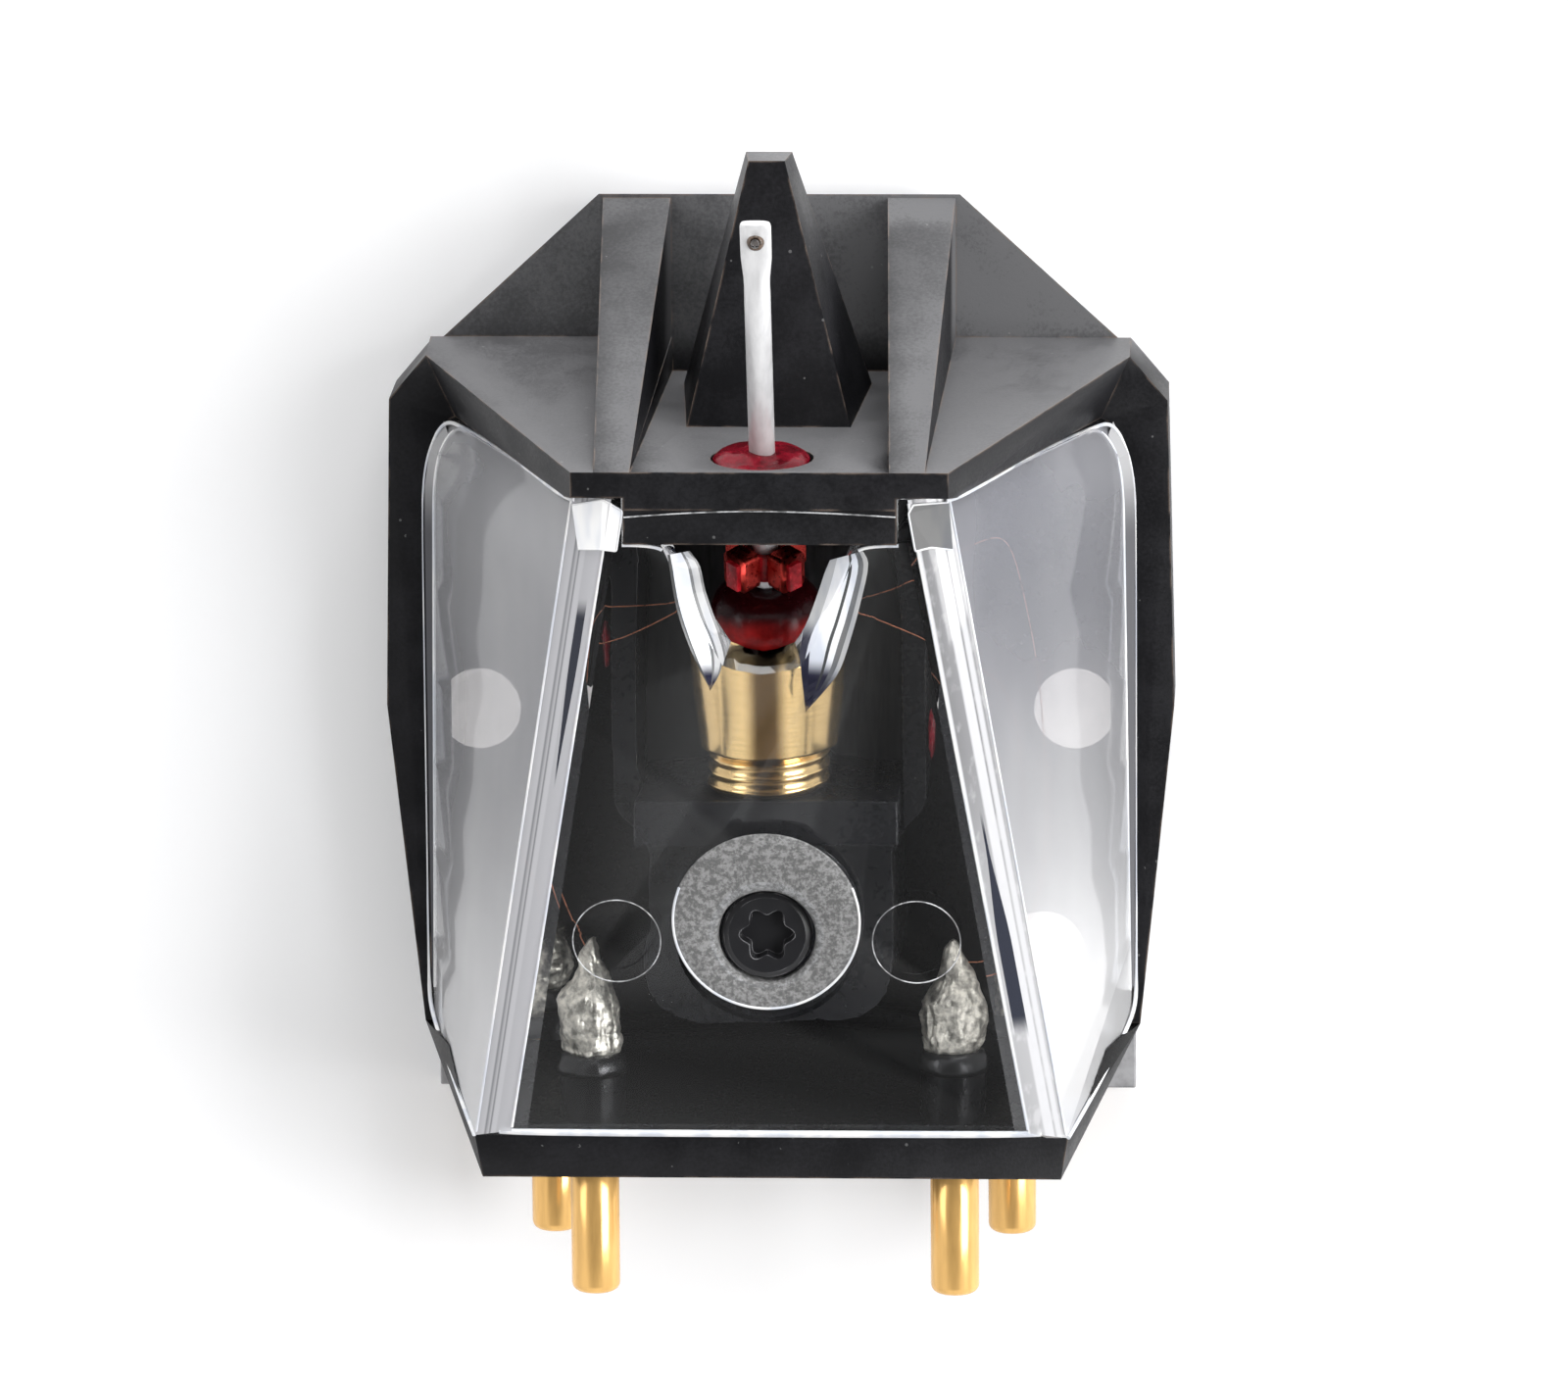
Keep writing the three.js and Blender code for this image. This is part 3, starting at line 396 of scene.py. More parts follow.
def strip_painted_reflection():
    """The cover's long edge strips, with a painted reflection: bright, with fine lines along them and one dark tapered
    streak a side.
    """
    made, tree = new_material("strip painted reflection")
    across, along, _ = axes(tree)
    middle = maths("MULTIPLY_ADD", maths("SUBTRACT", 0.002, along), STRIP_SPREAD, STRIP_MIDDLE)
    place = maths("MULTIPLY_ADD", maths("SUBTRACT", maths("ABSOLUTE", across), middle), 1000.0, 0.5)
    on_left = grey_bands(place, (
        (0.0, 0.95), (0.17, 0.85), (0.42, 0.80), (0.46, 0.95), (0.56, 0.95), (0.60, 0.30), (0.64, 0.90),
        (0.72, 0.35), (0.76, 0.95), (0.92, 0.85), (1.0, 0.60)))
    on_right = grey_bands(place, (
        (0.0, 0.95), (0.07, 0.90), (0.11, 0.30), (0.42, 0.36), (0.47, 0.90), (0.66, 0.92), (0.70, 0.28),
        (0.75, 0.85), (0.84, 0.85), (0.89, 0.35), (1.0, 0.70)))
    # Painted reflection: the bands turn paler towards the rear and in patches; the dark streaks are a painted dark
    # reflection
    sheen_patches = noise_value(object_place(tree, (1.0, 0.5, 1.0)), 3200.0)
    pale = total(ramp(along, -0.004, -0.010, 0.0, 0.45), ramp(sheen_patches, 0.50, 0.70, 0.0, 0.35))
    on_right = mixed(0.16, mixed(pale, on_right, (0.85, 0.85, 0.87, 1)), (0.10, 0.10, 0.12, 1))
    on_left = mixed(0.38, on_left, (0.22, 0.22, 0.26, 1))
    left = maths("LESS_THAN", across, 0.0)
    first = streak(place, along, 0.31, (-0.0056, -0.0020, 0.02, 0.11), (-0.0058, -0.0050), (-0.0006, -0.0012))
    second = streak(place, along, 0.34, (-0.0070, -0.0100, 0.03, 0.17), (-0.0125, -0.0118), (-0.0062, -0.0070))
    dark = total(product(first, left), product(second, maths("SUBTRACT", 1.0, left)))
    finished(
        made, Base_Color=mixed(dark, mixed(left, on_right, on_left), (0.012, 0.016, 0.035, 1)),
        Transmission_Weight=0.15, IOR=ACRYLIC_IOR, Roughness=0.08)
    return let_lamps_through(made, (0.85, 0.86, 0.88))


def painted_edge_highlight(name, level, dark_from=-0.030, dark_to=-0.031, glow=0.0):
    """Painted highlight on polished acrylic: it shines white, falling to a painted dark blue reflection at its far end.
    """
    made, tree = new_material(name)
    streaks = noise_value(object_place(tree, (1.0, 0.25, 1.0)), 1700.0, 2.0)
    pale = mixed(
        ramp(streaks, 0.35, 0.65), (level * 0.72, level * 0.75, level * 0.82, 1), (level, level, level, 1))
    return finished(
        made, Base_Color=mixed(ramp(axes(tree)[1], dark_from, dark_to), pale, (0.014, 0.014, 0.035, 1)),
        Roughness=0.2, Emission_Color=(1, 1, 1, 1), Emission_Strength=glow)


def frosted(name, base, roughness, scale, strength, floor=0.25, patches=1100.0, glow=0.0):
    """Speckled, frosted plastic."""
    made, tree = new_material(name)
    grain = use_group(tree, "fine grain", Scale=scale, Patch_Scale=patches)
    return finished(
        made, Base_Color=mixed(ramp(grain["Mottle"], 0.42, 0.60), shaded(base, floor), base), Roughness=roughness,
        Emission_Color=(1, 0.97, 0.95, 1), Emission_Strength=glow, Normal=bump(grain["Height"], strength, 0.00004))


def metal(name, base, rough, scale, height, stretch=(1.0, 1.0, 1.0), darker=0.7, metallic=1.0, relief=0.25, band=0.0):
    """Metal with fine tool marks, and with a painted reflection: a dark band along its middle where it mirrors the
    room.
    """
    made, tree = new_material(name)
    marks = use_group(tree, "fine scratches", Stretch=stretch, Scale=scale)
    tint = mixed(ramp(marks["Value"], 0.3, 0.7), shaded(base, darker), base)
    if band:
        # Painted reflection: a dark band along the middle of the piece
        beside = maths("ABSOLUTE", maths("ADD", axes(tree)[0], -0.00006))
        tint = mixed(ramp(beside, 0.00018, 0.00062, band, 0.0), tint, (0.10, 0.05, 0.012, 1))
    return finished(
        made, Base_Color=tint, Metallic=metallic, Roughness=ramp(marks["Value"], 0.3, 0.7, *rough),
        Normal=bump(marks["Height"], relief, height))


def worn_black():
    """Black oxide with bright, worn edges."""
    made, tree = new_material("black screw")
    wear = use_group(tree, "edge wear", Width=0.00004, Breakup_Scale=2600.0)
    return finished(
        made, Base_Color=mixed(wear["Mask"], (0.014, 0.014, 0.016, 1), (0.42, 0.42, 0.44, 1)), Roughness=0.3)


def lacquer(name, base, roughness, scale, strength, distance, shade_ahead=False):
    """Glossy red varnish or soft damper with uneven thickness; the damper also takes a painted shade that darkens its
    front.
    """
    made, tree = new_material(name)
    grain = use_group(tree, "fine grain", Scale=scale, Patch_Scale=scale * 0.3)
    tint = mixed(ramp(grain["Mottle"], 0.38, 0.62), shaded(base, 0.35), base)
    if shade_ahead:
        # Painted shade: the damper's front, behind the coils, turns nearly black
        tint = mixed(ramp(axes(tree)[1], -0.0019, -0.0014), tint, (0.014, 0.0012, 0.0018, 1))
    return finished(
        made, Base_Color=tint, Roughness=ramp(grain["Mottle"], 0.3, 0.7, roughness, roughness + 0.2),
        Specular_IOR_Level=0.16, Coat_Weight=0.03, Coat_Roughness=0.08,
        Normal=bump(grain["Height"], strength, distance))


def make_materials():
    for build in (edge_wear_group, grain_group, specks_group, scratches_group):
        build()
    look = colours()
    return {
        "moulded": moulded_black(),
        "inner": inner_black("inner black", look.inner_black, 0.25, 0.2),
        # Painted shade: the inside of the tub is the same black moulding, given a darker copy with less shine
        "tub_inside_shade": inner_black("tub inside shade", (0.0015, 0.0015, 0.0018, 1), 0.08, 0.04),
        "clear": clear_acrylic(),
        # Painted reflections on the side windows, outside and inside
        "window": window_painted_reflection("window painted reflection", 1.0),
        "window_inner": window_painted_reflection("window inner", 0.10),
        "window_foot": rim_band(),
        "strip": strip_painted_reflection(),
        # Painted highlights and painted dark reflections for the notch's walls, the corner blocks and the cover's
        # edges; the corner glow also glows of its own
        "wall_white_highlight": painted_edge_highlight("wall white highlight", 0.97, -0.0022, -0.0027),
        "wall_pale_highlight": painted_edge_highlight("wall pale highlight", 0.55, -0.0024, -0.0029),
        "wall_early_highlight": painted_edge_highlight("wall early highlight", 0.60, -0.0012, -0.0018),
        "wall_grey_highlight": painted_edge_highlight("wall grey highlight", 0.17, -0.0026, -0.0031),
        "wall_dark_reflection": painted_edge_highlight("wall dark reflection", 0.05, -0.0030, -0.0031),
        "corner_glow": painted_edge_highlight("corner glow", 0.97, glow=0.08),
        "edge_glint": painted_edge_highlight("edge glint", 0.90),
        "clear_rough": frosted("ring lip", (0.72, 0.73, 0.75, 1), 0.3, 5200.0, 0.2),
        "frosted": frosted("frosted boss", (0.29, 0.29, 0.29, 1), 0.5, 15000.0, 0.5, 0.42, 6400.0),
        # Painted light: the pale discs glow a little of their own
        "pale_disc": frosted("pale disc", (0.95, 0.90, 0.88, 1), 0.55, 2400.0, 0.1, 0.86, glow=0.16),
        "gilt": metal(
            "gilded barrel", look.gilt, (0.15, 0.23), 5200.0, 0.000002, (0.2, 3.0, 0.2), 0.93, 0.97, 0.04, 0.95),
        "gold": metal("gold pins", look.gold, (0.12, 0.24), 5200.0, 0.000002, (1.0, 0.12, 1.0), 0.86, 0.5, 0.1),
        "insert": metal("turned inserts", look.gilt, (0.25, 0.4), 3000.0, 0.000004, (1.0, 1.0, 5.0)),
        "tube": metal("cantilever tube", look.tube, (0.28, 0.42), 7000.0, 0.000001, (1.0, 0.15, 1.0), 0.9, 0.28, 0.1),
        "plate": metal("plate grey", look.plate, (0.42, 0.58), 2600.0, 0.000006),
        "iron": metal("blackened iron", (0.035, 0.034, 0.035, 1), (0.38, 0.5), 2600.0, 0.000002, (3.0, 0.4, 0.4)),
        "screw": worn_black(),
        "solder": metal(
            "tin solder", look.solder, (0.30, 0.5), 3400.0, 0.00007, darker=0.30, metallic=0.85, relief=0.8),
        "copper": metal("copper leads", look.copper, (0.25, 0.4), 4000.0, 0.000002),
        "winding": metal("lacquered winding", (0.55, 0.05, 0.04, 1), (0.25, 0.4), 9000.0, 0.000006),
        "lacquer": lacquer("red lacquer", look.lacquer, 0.12, 3200.0, 0.5, 0.00003),
        "damper": lacquer("red damper", look.damper, 0.10, 1900.0, 0.5, 0.00006, True),
        "former": lacquer("red former", (0.42, 0.012, 0.02, 1), 0.14, 4200.0, 0.3, 0.00002),
        "stylus": metal("dark stylus", (0.10, 0.09, 0.085, 1), (0.10, 0.2), 9000.0, 0.000001),
        "bond": frosted("stylus bond", (0.16, 0.11, 0.08, 1), 0.25, 9000.0, 0.2),
        "glue": frosted("black glue", (0.008, 0.008, 0.008, 1), 0.25, 3000.0, 0.6),
    }


MATERIALS = {}


# Mesh helpers: every piece sits at the origin with its place in its mesh

def in_scene(name, data):
    """A new object, linked into the scene."""
    made = bpy.data.objects.new(name, data)
    bpy.context.scene.collection.objects.link(made)
    return made


def add_piece(mesh, name, material, replaced=(), body=BODY):
    """A piece of a mesh in metres that rides on a body."""
    piece = in_scene(name, mesh)
    mesh.materials.append(MATERIALS[material])
    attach(piece, body)
    if replaced:
        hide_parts(*replaced)
    return piece


def finish_mesh(bm, name, material, replaced=(), body=BODY, smooth=True):
    """Turns a bmesh in millimetres into a piece."""
    bmesh.ops.remove_doubles(bm, verts=bm.verts, dist=0.0001)
    bmesh.ops.recalc_face_normals(bm, faces=bm.faces)
    bmesh.ops.scale(bm, vec=(MM, MM, MM), verts=bm.verts)
    mesh = bpy.data.meshes.new(name)
    bm.to_mesh(mesh)
    bm.free()
    if smooth:
        mesh.shade_smooth()
    return add_piece(mesh, name, material, replaced, body)


def rounded_edges(piece, width):
    """Rounds the piece's hard edges with a Bevel modifier."""
    made = piece.modifiers.new("Rounded edges", "BEVEL")
    made.width = width
    made.segments = 3
    made.limit_method = "ANGLE"
    made.angle_limit = math.radians(24.0)
    made.harden_normals = True
    made.use_clamp_overlap = True


def node_copy(name):
    """A merged copy of a CAD node in millimetres, with its flat faces joined."""
    bm = bmesh.new()
    bm.from_mesh(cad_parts[name].data)
    bmesh.ops.scale(bm, vec=(1 / MM, 1 / MM, 1 / MM), verts=bm.verts)
    bmesh.ops.remove_doubles(bm, verts=bm.verts, dist=0.002)
    bmesh.ops.dissolve_limit(bm, angle_limit=math.radians(0.4), verts=bm.verts, edges=bm.edges)
    return bm


def turn(bm, matrix):
    bmesh.ops.transform(bm, matrix=matrix, verts=bm.verts)
    return bm


def spun(profile, place=(0, 0, 0), steps=64):
    """Body of revolution about +Y from [radius, y] pairs that start and end on the axis."""
    bm = bmesh.new()
    points = [bm.verts.new((radius, y, 0)) for radius, y in profile]
    edges = [bm.edges.new(pair) for pair in zip(points, points[1:])]
    bmesh.ops.spin(
        bm, geom=points + edges, cent=(0, 0, 0), axis=(0, 1, 0),
        angle=2 * math.pi, steps=steps, use_merge=True)
    bmesh.ops.remove_doubles(bm, verts=bm.verts, dist=0.0005)
    bmesh.ops.translate(bm, vec=place, verts=bm.verts)
    return bm


def lumpy_ball(subdivisions, radius, moved):
    """A ball with each of its vertices moved by a function."""
    bm = bmesh.new()
    bmesh.ops.create_icosphere(bm, subdivisions=subdivisions, radius=radius)
    for vert in bm.verts:
        vert.co = moved(vert.co)
    return bm


def bridged(bm, loops):
    """Joins each loop of vertices to the next, and gives the loops' edges."""
    rings = [list({edge for vert in loop for edge in vert.link_edges}) for loop in loops]
    for first, second in zip(rings, rings[1:]):
        bmesh.ops.bridge_loops(bm, edges=first + second)
    return rings


def band_between(first, second, thickness):
    """A thin band between two rows of places."""
    bm = bmesh.new()
    edges = []
    for row in (first, second):
        verts = [bm.verts.new(place) for place in row]
        edges += [bm.edges.new(pair) for pair in zip(verts, verts[1:])]
    bmesh.ops.bridge_loops(bm, edges=edges)
    bmesh.ops.solidify(bm, geom=bm.faces[:], thickness=thickness)
    return bm


def only(items, kind):
    return [item for item in items if isinstance(item, kind)]


def cut(bm, place, normal, **side):
    """Cuts one side of a plane off and closes the cut."""
    bmesh.ops.bisect_plane(
        bm, geom=bm.verts[:] + bm.edges[:] + bm.faces[:], plane_co=place, plane_no=normal, **side)
    bmesh.ops.holes_fill(bm, edges=[edge for edge in bm.edges if edge.is_boundary], sides=0)


def wire(name, points, radius, material, replaced=()):
    """A fine wire or bead along points in millimetres, as a mesh."""
    curve = bpy.data.curves.new(name, "CURVE")
    curve.dimensions = "3D"
    curve.bevel_depth = radius * MM
    curve.bevel_resolution = 2
    curve.use_fill_caps = True
    spline = curve.splines.new("NURBS")
    spline.points.add(len(points) - 1)
    for point, place in zip(spline.points, points):
        point.co = (*[value * MM for value in place], 1)
    spline.use_endpoint_u = True
    spline.order_u = 4
    spline.resolution_u = 8
    guide = in_scene(name + "_guide", curve)
    mesh = bpy.data.meshes.new_from_object(guide.evaluated_get(bpy.context.evaluated_depsgraph_get()))
    bpy.data.objects.remove(guide)
    mesh.shade_smooth()
    mesh.materials.clear()
    return add_piece(mesh, name, material, replaced)


def glint(name, points, radius):
    """A painted highlight: a bright wire along a polished edge of the cover."""
    wire(name, points, radius, "edge_glint")


# Places shared by the pieces, in millimetres, as the CAD gives them
LEAN = math.radians(20.5)
PIVOT = (0, -0.5, 9.68)
ALONG_AXIS = Matrix.Translation(PIVOT) @ Matrix.Rotation(LEAN, 4, "X")
COVER_HEIGHT = 12.42
COVER_SLOPE = (COVER_HEIGHT - 9.95) / (2.0 + 15.0)
COVER_TILT = Matrix.Rotation(math.atan(COVER_SLOPE), 4, "X")
SCREW_Y = -9.7
BARREL_AXIS = (0, 0, 8.95)
TUB_SIDE, TUB_REAR, TUB_FRONT, TUB_FLOOR, TUB_TOP = 8.6, -14.95, 1.4, 1.2, 10.5
SIDES = ((-1, "left"), (1, "right"))
# Lines of the notch's walls, at the cover's top and lower down
LEFT_OUTER = [
    (-2.31, 0.54), (-2.25, 0.02), (-2.15, -0.7), (-2.0, -1.33), (-1.79, -1.95), (-1.57, -2.48), (-1.3, -3.01)]
LEFT_INNER = [
    (-1.79, 0.55), (-1.54, 0.16), (-1.42, -0.46), (-1.25, -1.03), (-1.03, -1.71), (-0.99, -2.24), (-1.09, -2.67),
    (-1.33, -3.11)]
RIGHT_OUTER = [(2.57, 0.66), (2.7, 0.27), (2.5, -0.69), (2.24, -1.65), (1.94, -2.52), (1.52, -3.1), (1.1, -3.58)]
RIGHT_INNER = [
    (1.73, 0.32), (1.59, -0.02), (1.45, -0.45), (1.21, -1.13), (1.0, -1.7), (0.98, -2.52), (1.04, -3.2), (1.08, -3.68)]
# Each pin's x, z, outer end and inner end
CORNERS = {
    "near_left": (-4.63, 7.6, -19.85, -13.825),
    "near_right": (4.63, 7.6, -19.85, -13.825),
    "far_left": (-5.97, 2.95, -19.5, -13.2),
    "far_right": (5.97, 2.95, -19.5, -13.2),
}


def cover_top(y):
    """Height of the cover's outer face at a place along it."""
    return COVER_HEIGHT - COVER_SLOPE * (2.0 - y)


class PieceOperator(bpy.types.Operator):
    """Base of the operators that build pieces"""

    bl_options = {"REGISTER", "UNDO"}

    def execute(self, context):
        self.build()
        return {"FINISHED"}


class CARTRIDGE_OT_stage(PieceOperator):
    """Camera at the photograph's angle, soft lamps, pale floor and world"""

    bl_idname = "cartridge.stage"
    bl_label = "Stage"

    def camera(self):
        tilt, side, roll = (math.radians(angle) for angle in (VIEW_TILT, VIEW_SIDE, VIEW_ROLL))
        lean, swing = Matrix.Rotation(tilt, 3, "X"), Matrix.Rotation(-side, 3, "Y")
        turned = (Matrix.Rotation(roll, 3, "Z") @ swing @ lean).transposed()
        data = bpy.data.cameras.new("camera")
        data.sensor_width = SENSOR_WIDTH
        data.lens = PIXELS_PER_MM * VIEW_DISTANCE / PHOTO_WIDTH * SENSOR_WIDTH
        data.clip_start, data.clip_end = 0.01, 20.0
        camera = in_scene("camera", data)
        place = turned @ Vector((0, VIEW_MIDDLE, VIEW_DISTANCE)) * MM
        camera.matrix_world = Matrix.Translation(place) @ turned.to_4x4()
        bpy.context.scene.camera = camera

    def lamp(self, name, place, size, power):
        data = bpy.data.lights.new(name, "AREA")
        data.shape = "SQUARE"
        data.size = size
        data.energy = power
        lamp = in_scene(name, data)
        lamp.location = place
        lamp.rotation_mode = "QUATERNION"
        lamp.rotation_quaternion = Vector(place).to_track_quat("Z", "Y")

    def world(self):
        """White room that is brighter low down in front, more so for plain surfaces than for mirrored rays."""
        world = bpy.data.worlds.new("soft studio")
        world.use_nodes = True
        tree = world.node_tree
        tree.nodes.clear()
        rays = tree.nodes.new("ShaderNodeLightPath").outputs
        place = node(tree, "ShaderNodeTexCoord").outputs["Generated"]
        _, along, height = node(tree, "ShaderNodeSeparateXYZ", Vector=place).outputs
        ahead = product(ramp(along, 0.2, 0.9), ramp(height, 0.10, 0.60, 1.0, 0.0))
        spread = maths("MULTIPLY_ADD", ahead, 1.8, 0.42)
        mirrored = maths("MULTIPLY_ADD", ahead, 0.8, ramp(height, 0.66, 0.95, 1.0, 0.06))
        plain, shine, white = (
            node(tree, "ShaderNodeBackground", Color=(1, 1, 1, 1), Strength=strength).outputs[0]
            for strength in (spread, mirrored, 1.0))
        seen = maths("MAXIMUM", rays["Is Glossy Ray"], rays["Is Transmission Ray"])
        out = tree.nodes.new("ShaderNodeOutputWorld")
        feed(out.inputs["Surface"], blended(rays["Is Camera Ray"], blended(seen, plain, shine), white))
        bpy.context.scene.world = world

    def floor(self):
        made, tree = new_material("pale floor")
        finished(made, Base_Color=colours().floor, Roughness=0.9, Specular_IOR_Level=0.1)
        rays = tree.nodes.new("ShaderNodeLightPath").outputs
        seen = maths("MAXIMUM", rays["Is Camera Ray"], rays["Is Glossy Ray"])
        seen = maths("MAXIMUM", seen, rays["Is Transmission Ray"])
        glow = node(tree, "ShaderNodeEmission", Color=(1, 1, 1, 1), Strength=product(seen, 0.16))
        both = tree.nodes.new("ShaderNodeAddShader")
        feed(both.inputs[0], tree.nodes["Principled BSDF"].outputs[0])
        feed(both.inputs[1], glow.outputs[0])
        feed(tree.nodes["Material Output"].inputs["Surface"], both.outputs[0])
        bm = bmesh.new()
        bmesh.ops.create_grid(bm, x_segments=1, y_segments=1, size=3.0)
        bmesh.ops.translate(bm, vec=(0, 0, -0.00002), verts=bm.verts)
        mesh = bpy.data.meshes.new("floor")
        bm.to_mesh(mesh)
        bm.free()
        mesh.materials.append(made)
        floor = in_scene("floor", mesh)

    def build(self):
        bpy.context.scene.view_settings.view_transform = "Standard"
        self.camera()
        self.lamp("key lamp", (0.34, 0.02, 0.30), 0.26, 1.9)
        self.lamp("fill lamp", (-0.36, 0.10, 0.26), 0.22, 0.35)
        self.lamp("front lamp", (0.06, 0.44, 0.11), 0.24, 1.3)
        self.world()
        self.floor()


class CARTRIDGE_OT_body(PieceOperator):
    """Moulded tub and front wall, mounting plate and threaded inserts"""

    bl_idname = "cartridge.body"
    bl_label = "Body"

    def build(self):
        shell = finish_mesh(node_copy("body_shell"), "moulded_body", "moulded", ["body_shell"])
        # Painted shade: the faces inside the tub take the darker black
        shell.data.materials.append(MATERIALS["tub_inside_shade"])
        for face in shell.data.polygons:
            x, y, z = face.center / MM
            rear_wall = face.normal.y < -0.9 and y < -14.9
            if abs(x) < TUB_SIDE and TUB_REAR < y < TUB_FRONT and TUB_FLOOR < z < TUB_TOP and not rear_wall:
                face.material_index = 1
        rounded_edges(shell, sizes().edge_round)
        for name, piece, material, slot in (
            ("mounting_plate", "grey_plate", "plate", "plate_metal"),
            ("insert_left", "turned_insert_left", "insert", "insert_brass"),
            ("insert_right", "turned_insert_right", "insert", "insert_brass"),
        ):
            made = finish_mesh(node_copy(name), piece, material, [name])
            rounded_edges(made, sizes().plate_round)


class CARTRIDGE_OT_cover(PieceOperator):
    """Clear faceted cover with its frosted screw seat, ejector rings, discs and the bead on the bridge"""

    bl_idname = "cartridge.cover"
    bl_label = "Cover"

    def face_kinds(self, cover):
        """Gives the windows and the edge strips their own finishes, which paint their reflections."""
        for name in ("window", "strip", "window_inner"):
            cover.data.materials.append(MATERIALS[name])
        for face in cover.data.polygons:
            x, _, z = face.normal
            beside = abs(face.center.x) > 4.3 * MM
            if beside and abs(x) > 0.70 and x * face.center.x > 0:
                face.material_index = 1
            elif beside and (abs(x) > 0.70 or z < -0.6):
                face.material_index = 3
            elif 0.25 < abs(x) < 0.65 and z > 0.7:
                face.material_index = 2

    def flat_disc(self, name, x, y):
        """Round pad cut off by the window's foot."""
        radius, height, foot = 1.06, 2.62, 8.55
        profile = [(0, 0), (radius, 0), (radius, 0.05), (radius * 0.78, 0.05), (radius * 0.75, 0.035), (0, 0.035)]
        bm = turn(spun(profile, steps=72), Matrix.Translation((x, y, height)) @ Matrix.Rotation(math.pi / 2, 4, "X"))
        side = math.copysign(1, x)
        cut(bm, (side * foot, 0, 0), (side, 0, 0), clear_outer=True)
        finish_mesh(bm, name, "pale_disc", smooth=False)

    def smooth_line(self, points, steps=20):
        """Even places along a smooth line through points."""
        ends = [points[0], *points, points[-1]]
        spots = []
        for step in range(steps + 1):
            along = step / steps * (len(points) - 1)
            i = min(int(along), len(points) - 2)
            t = along - i
            a, b, c, d = (Vector(ends[i + k]) for k in range(4))
            bend, twist = 2 * a - 5 * b + 4 * c - d, 3 * b - a - 3 * c + d
            spots.append(0.5 * ((2 * b) + (c - a) * t + bend * t * t + twist * t ** 3))
        return spots

    def ribbon(self, name, outer, inner, bands):
        """Sloping wall of the notch in bands of painted highlight and painted dark reflection, from a line at the
        cover's top to one lower down.
        """
        lines = list(zip(self.smooth_line(outer), self.smooth_line(inner)))
        for i, (start, end, material) in enumerate(bands):
            rows = []
            for share in (start, end):
                places = [first.lerp(second, share) for first, second in lines]
                rows.append([(x, y, cover_top(y) + 0.03 - 0.45 * share) for x, y in places])
            finish_mesh(
                band_between(*rows, 0.012), f"{name}_band_{i + 1}", material, smooth=False)

    def patch(self, name, points, material):
        """Flat patch in a painted light tone, with a painted highlight along its edge, laid on the cover."""
        bm = bmesh.new()
        bmesh.ops.contextual_create(bm, geom=[bm.verts.new((x, y, z + 0.04)) for x, y, z in points])
        bmesh.ops.triangulate(bm, faces=bm.faces[:])
        bmesh.ops.solidify(bm, geom=bm.faces[:], thickness=0.02)
        finish_mesh(bm, name, material, smooth=False)
        glint(f"{name}_edge", [(x, y, z + 0.05) for x, y, z in points for _ in range(2)], 0.028)

    def seat(self):
        """Frosted funnel round the screw, from the cover's face down to the screw's head."""
        bm = bmesh.new()
        rings = []
        for radius, y, rise in (
            (2.34, -9.25, -0.06), (2.39, -9.25, 0.0), (2.34, -9.25, 0.02), (1.95, -9.40, 0.012), (1.45, -9.62, 0.0),
            (1.27, -9.70, -0.05), (1.22, -9.70, -0.5),
        ):
            rings.append(bmesh.ops.create_circle(bm, segments=96, radius=radius)["verts"])
            place = Matrix.Translation((0, y, cover_top(y) + rise)) @ COVER_TILT
            bmesh.ops.transform(bm, matrix=place, verts=rings[-1])
        bridged(bm, rings)
        finish_mesh(bm, "frosted_screw_seat", "frosted")
        # Painted highlight: a bright wire round part of the seat's rim
        angles = [step * math.pi / 24 for step in range(9, 40)]
        circle = [(2.37 * math.sin(angle), -9.25 + 2.37 * math.cos(angle)) for angle in angles]
        glint("screw_seat_rim", [(x, y, cover_top(y) + 0.02) for x, y in circle], 0.035)

    def rims(self):
        """Painted highlights: bright wires along the polished edges of the windows, strips and rear, and the windows'
        foot band with its painted reflection.
        """
        for side, name in SIDES:
            def placed(points):
                return [(side * x, y, z) for x, y, z in points]

            seam = placed([
                (4.66, 1.93, 12.10), (4.90, 1.90, 12.0), (5.98, 2.00, 8.85), (7.10, 1.97, 5.88), (7.88, 1.98, 4.05),
                (8.22, 2.04, 3.45), (8.63, 2.08, 2.97), (9.05, 1.25, 2.96), (9.2, 0.3, 2.95), (9.22, -1, 2.95),
                (9.22, -5, 2.95), (9.22, -9, 2.95), (9.22, -12.8, 2.95), (9.2, -13.5, 3.0), (8.9, -14.0, 4.0),
                (8.2, -14.75, 7.0), (7.6, -15.28, 9.3)])
            foot = placed([
                (8.0, 1.95, 3.9), (8.20, 1.98, 3.45), (8.5, 1.75, 3.22), (8.77, 1.15, 3.21), (8.89, 0.33, 3.21),
                (8.90, -1, 3.2), (8.95, -4.5, 3.15), (9.0, -9, 3.1), (9.05, -13.0, 3.05)])
            finish_mesh(
                band_between(seam[6:13], foot[2:], 0.02), f"window_foot_{name}", "window_foot",
                smooth=False)
            glint(f"window_rim_seam_{name}", seam, 0.055)
            glint(f"window_rim_foot_{name}", foot, 0.045)
            for run, start, end in (
                ("inner", (3.72, 1.9, 12.40), (6.58, -14.9, 9.96)),
                ("outer", (4.72, 1.95, 11.95), (7.53, -15.15, 9.47)),
            ):
                points = [[low + (high - low) * step / 5 for low, high in zip(start, end)] for step in range(6)]
                glint(f"strip_rim_{run}_{name}", placed(points), 0.035)
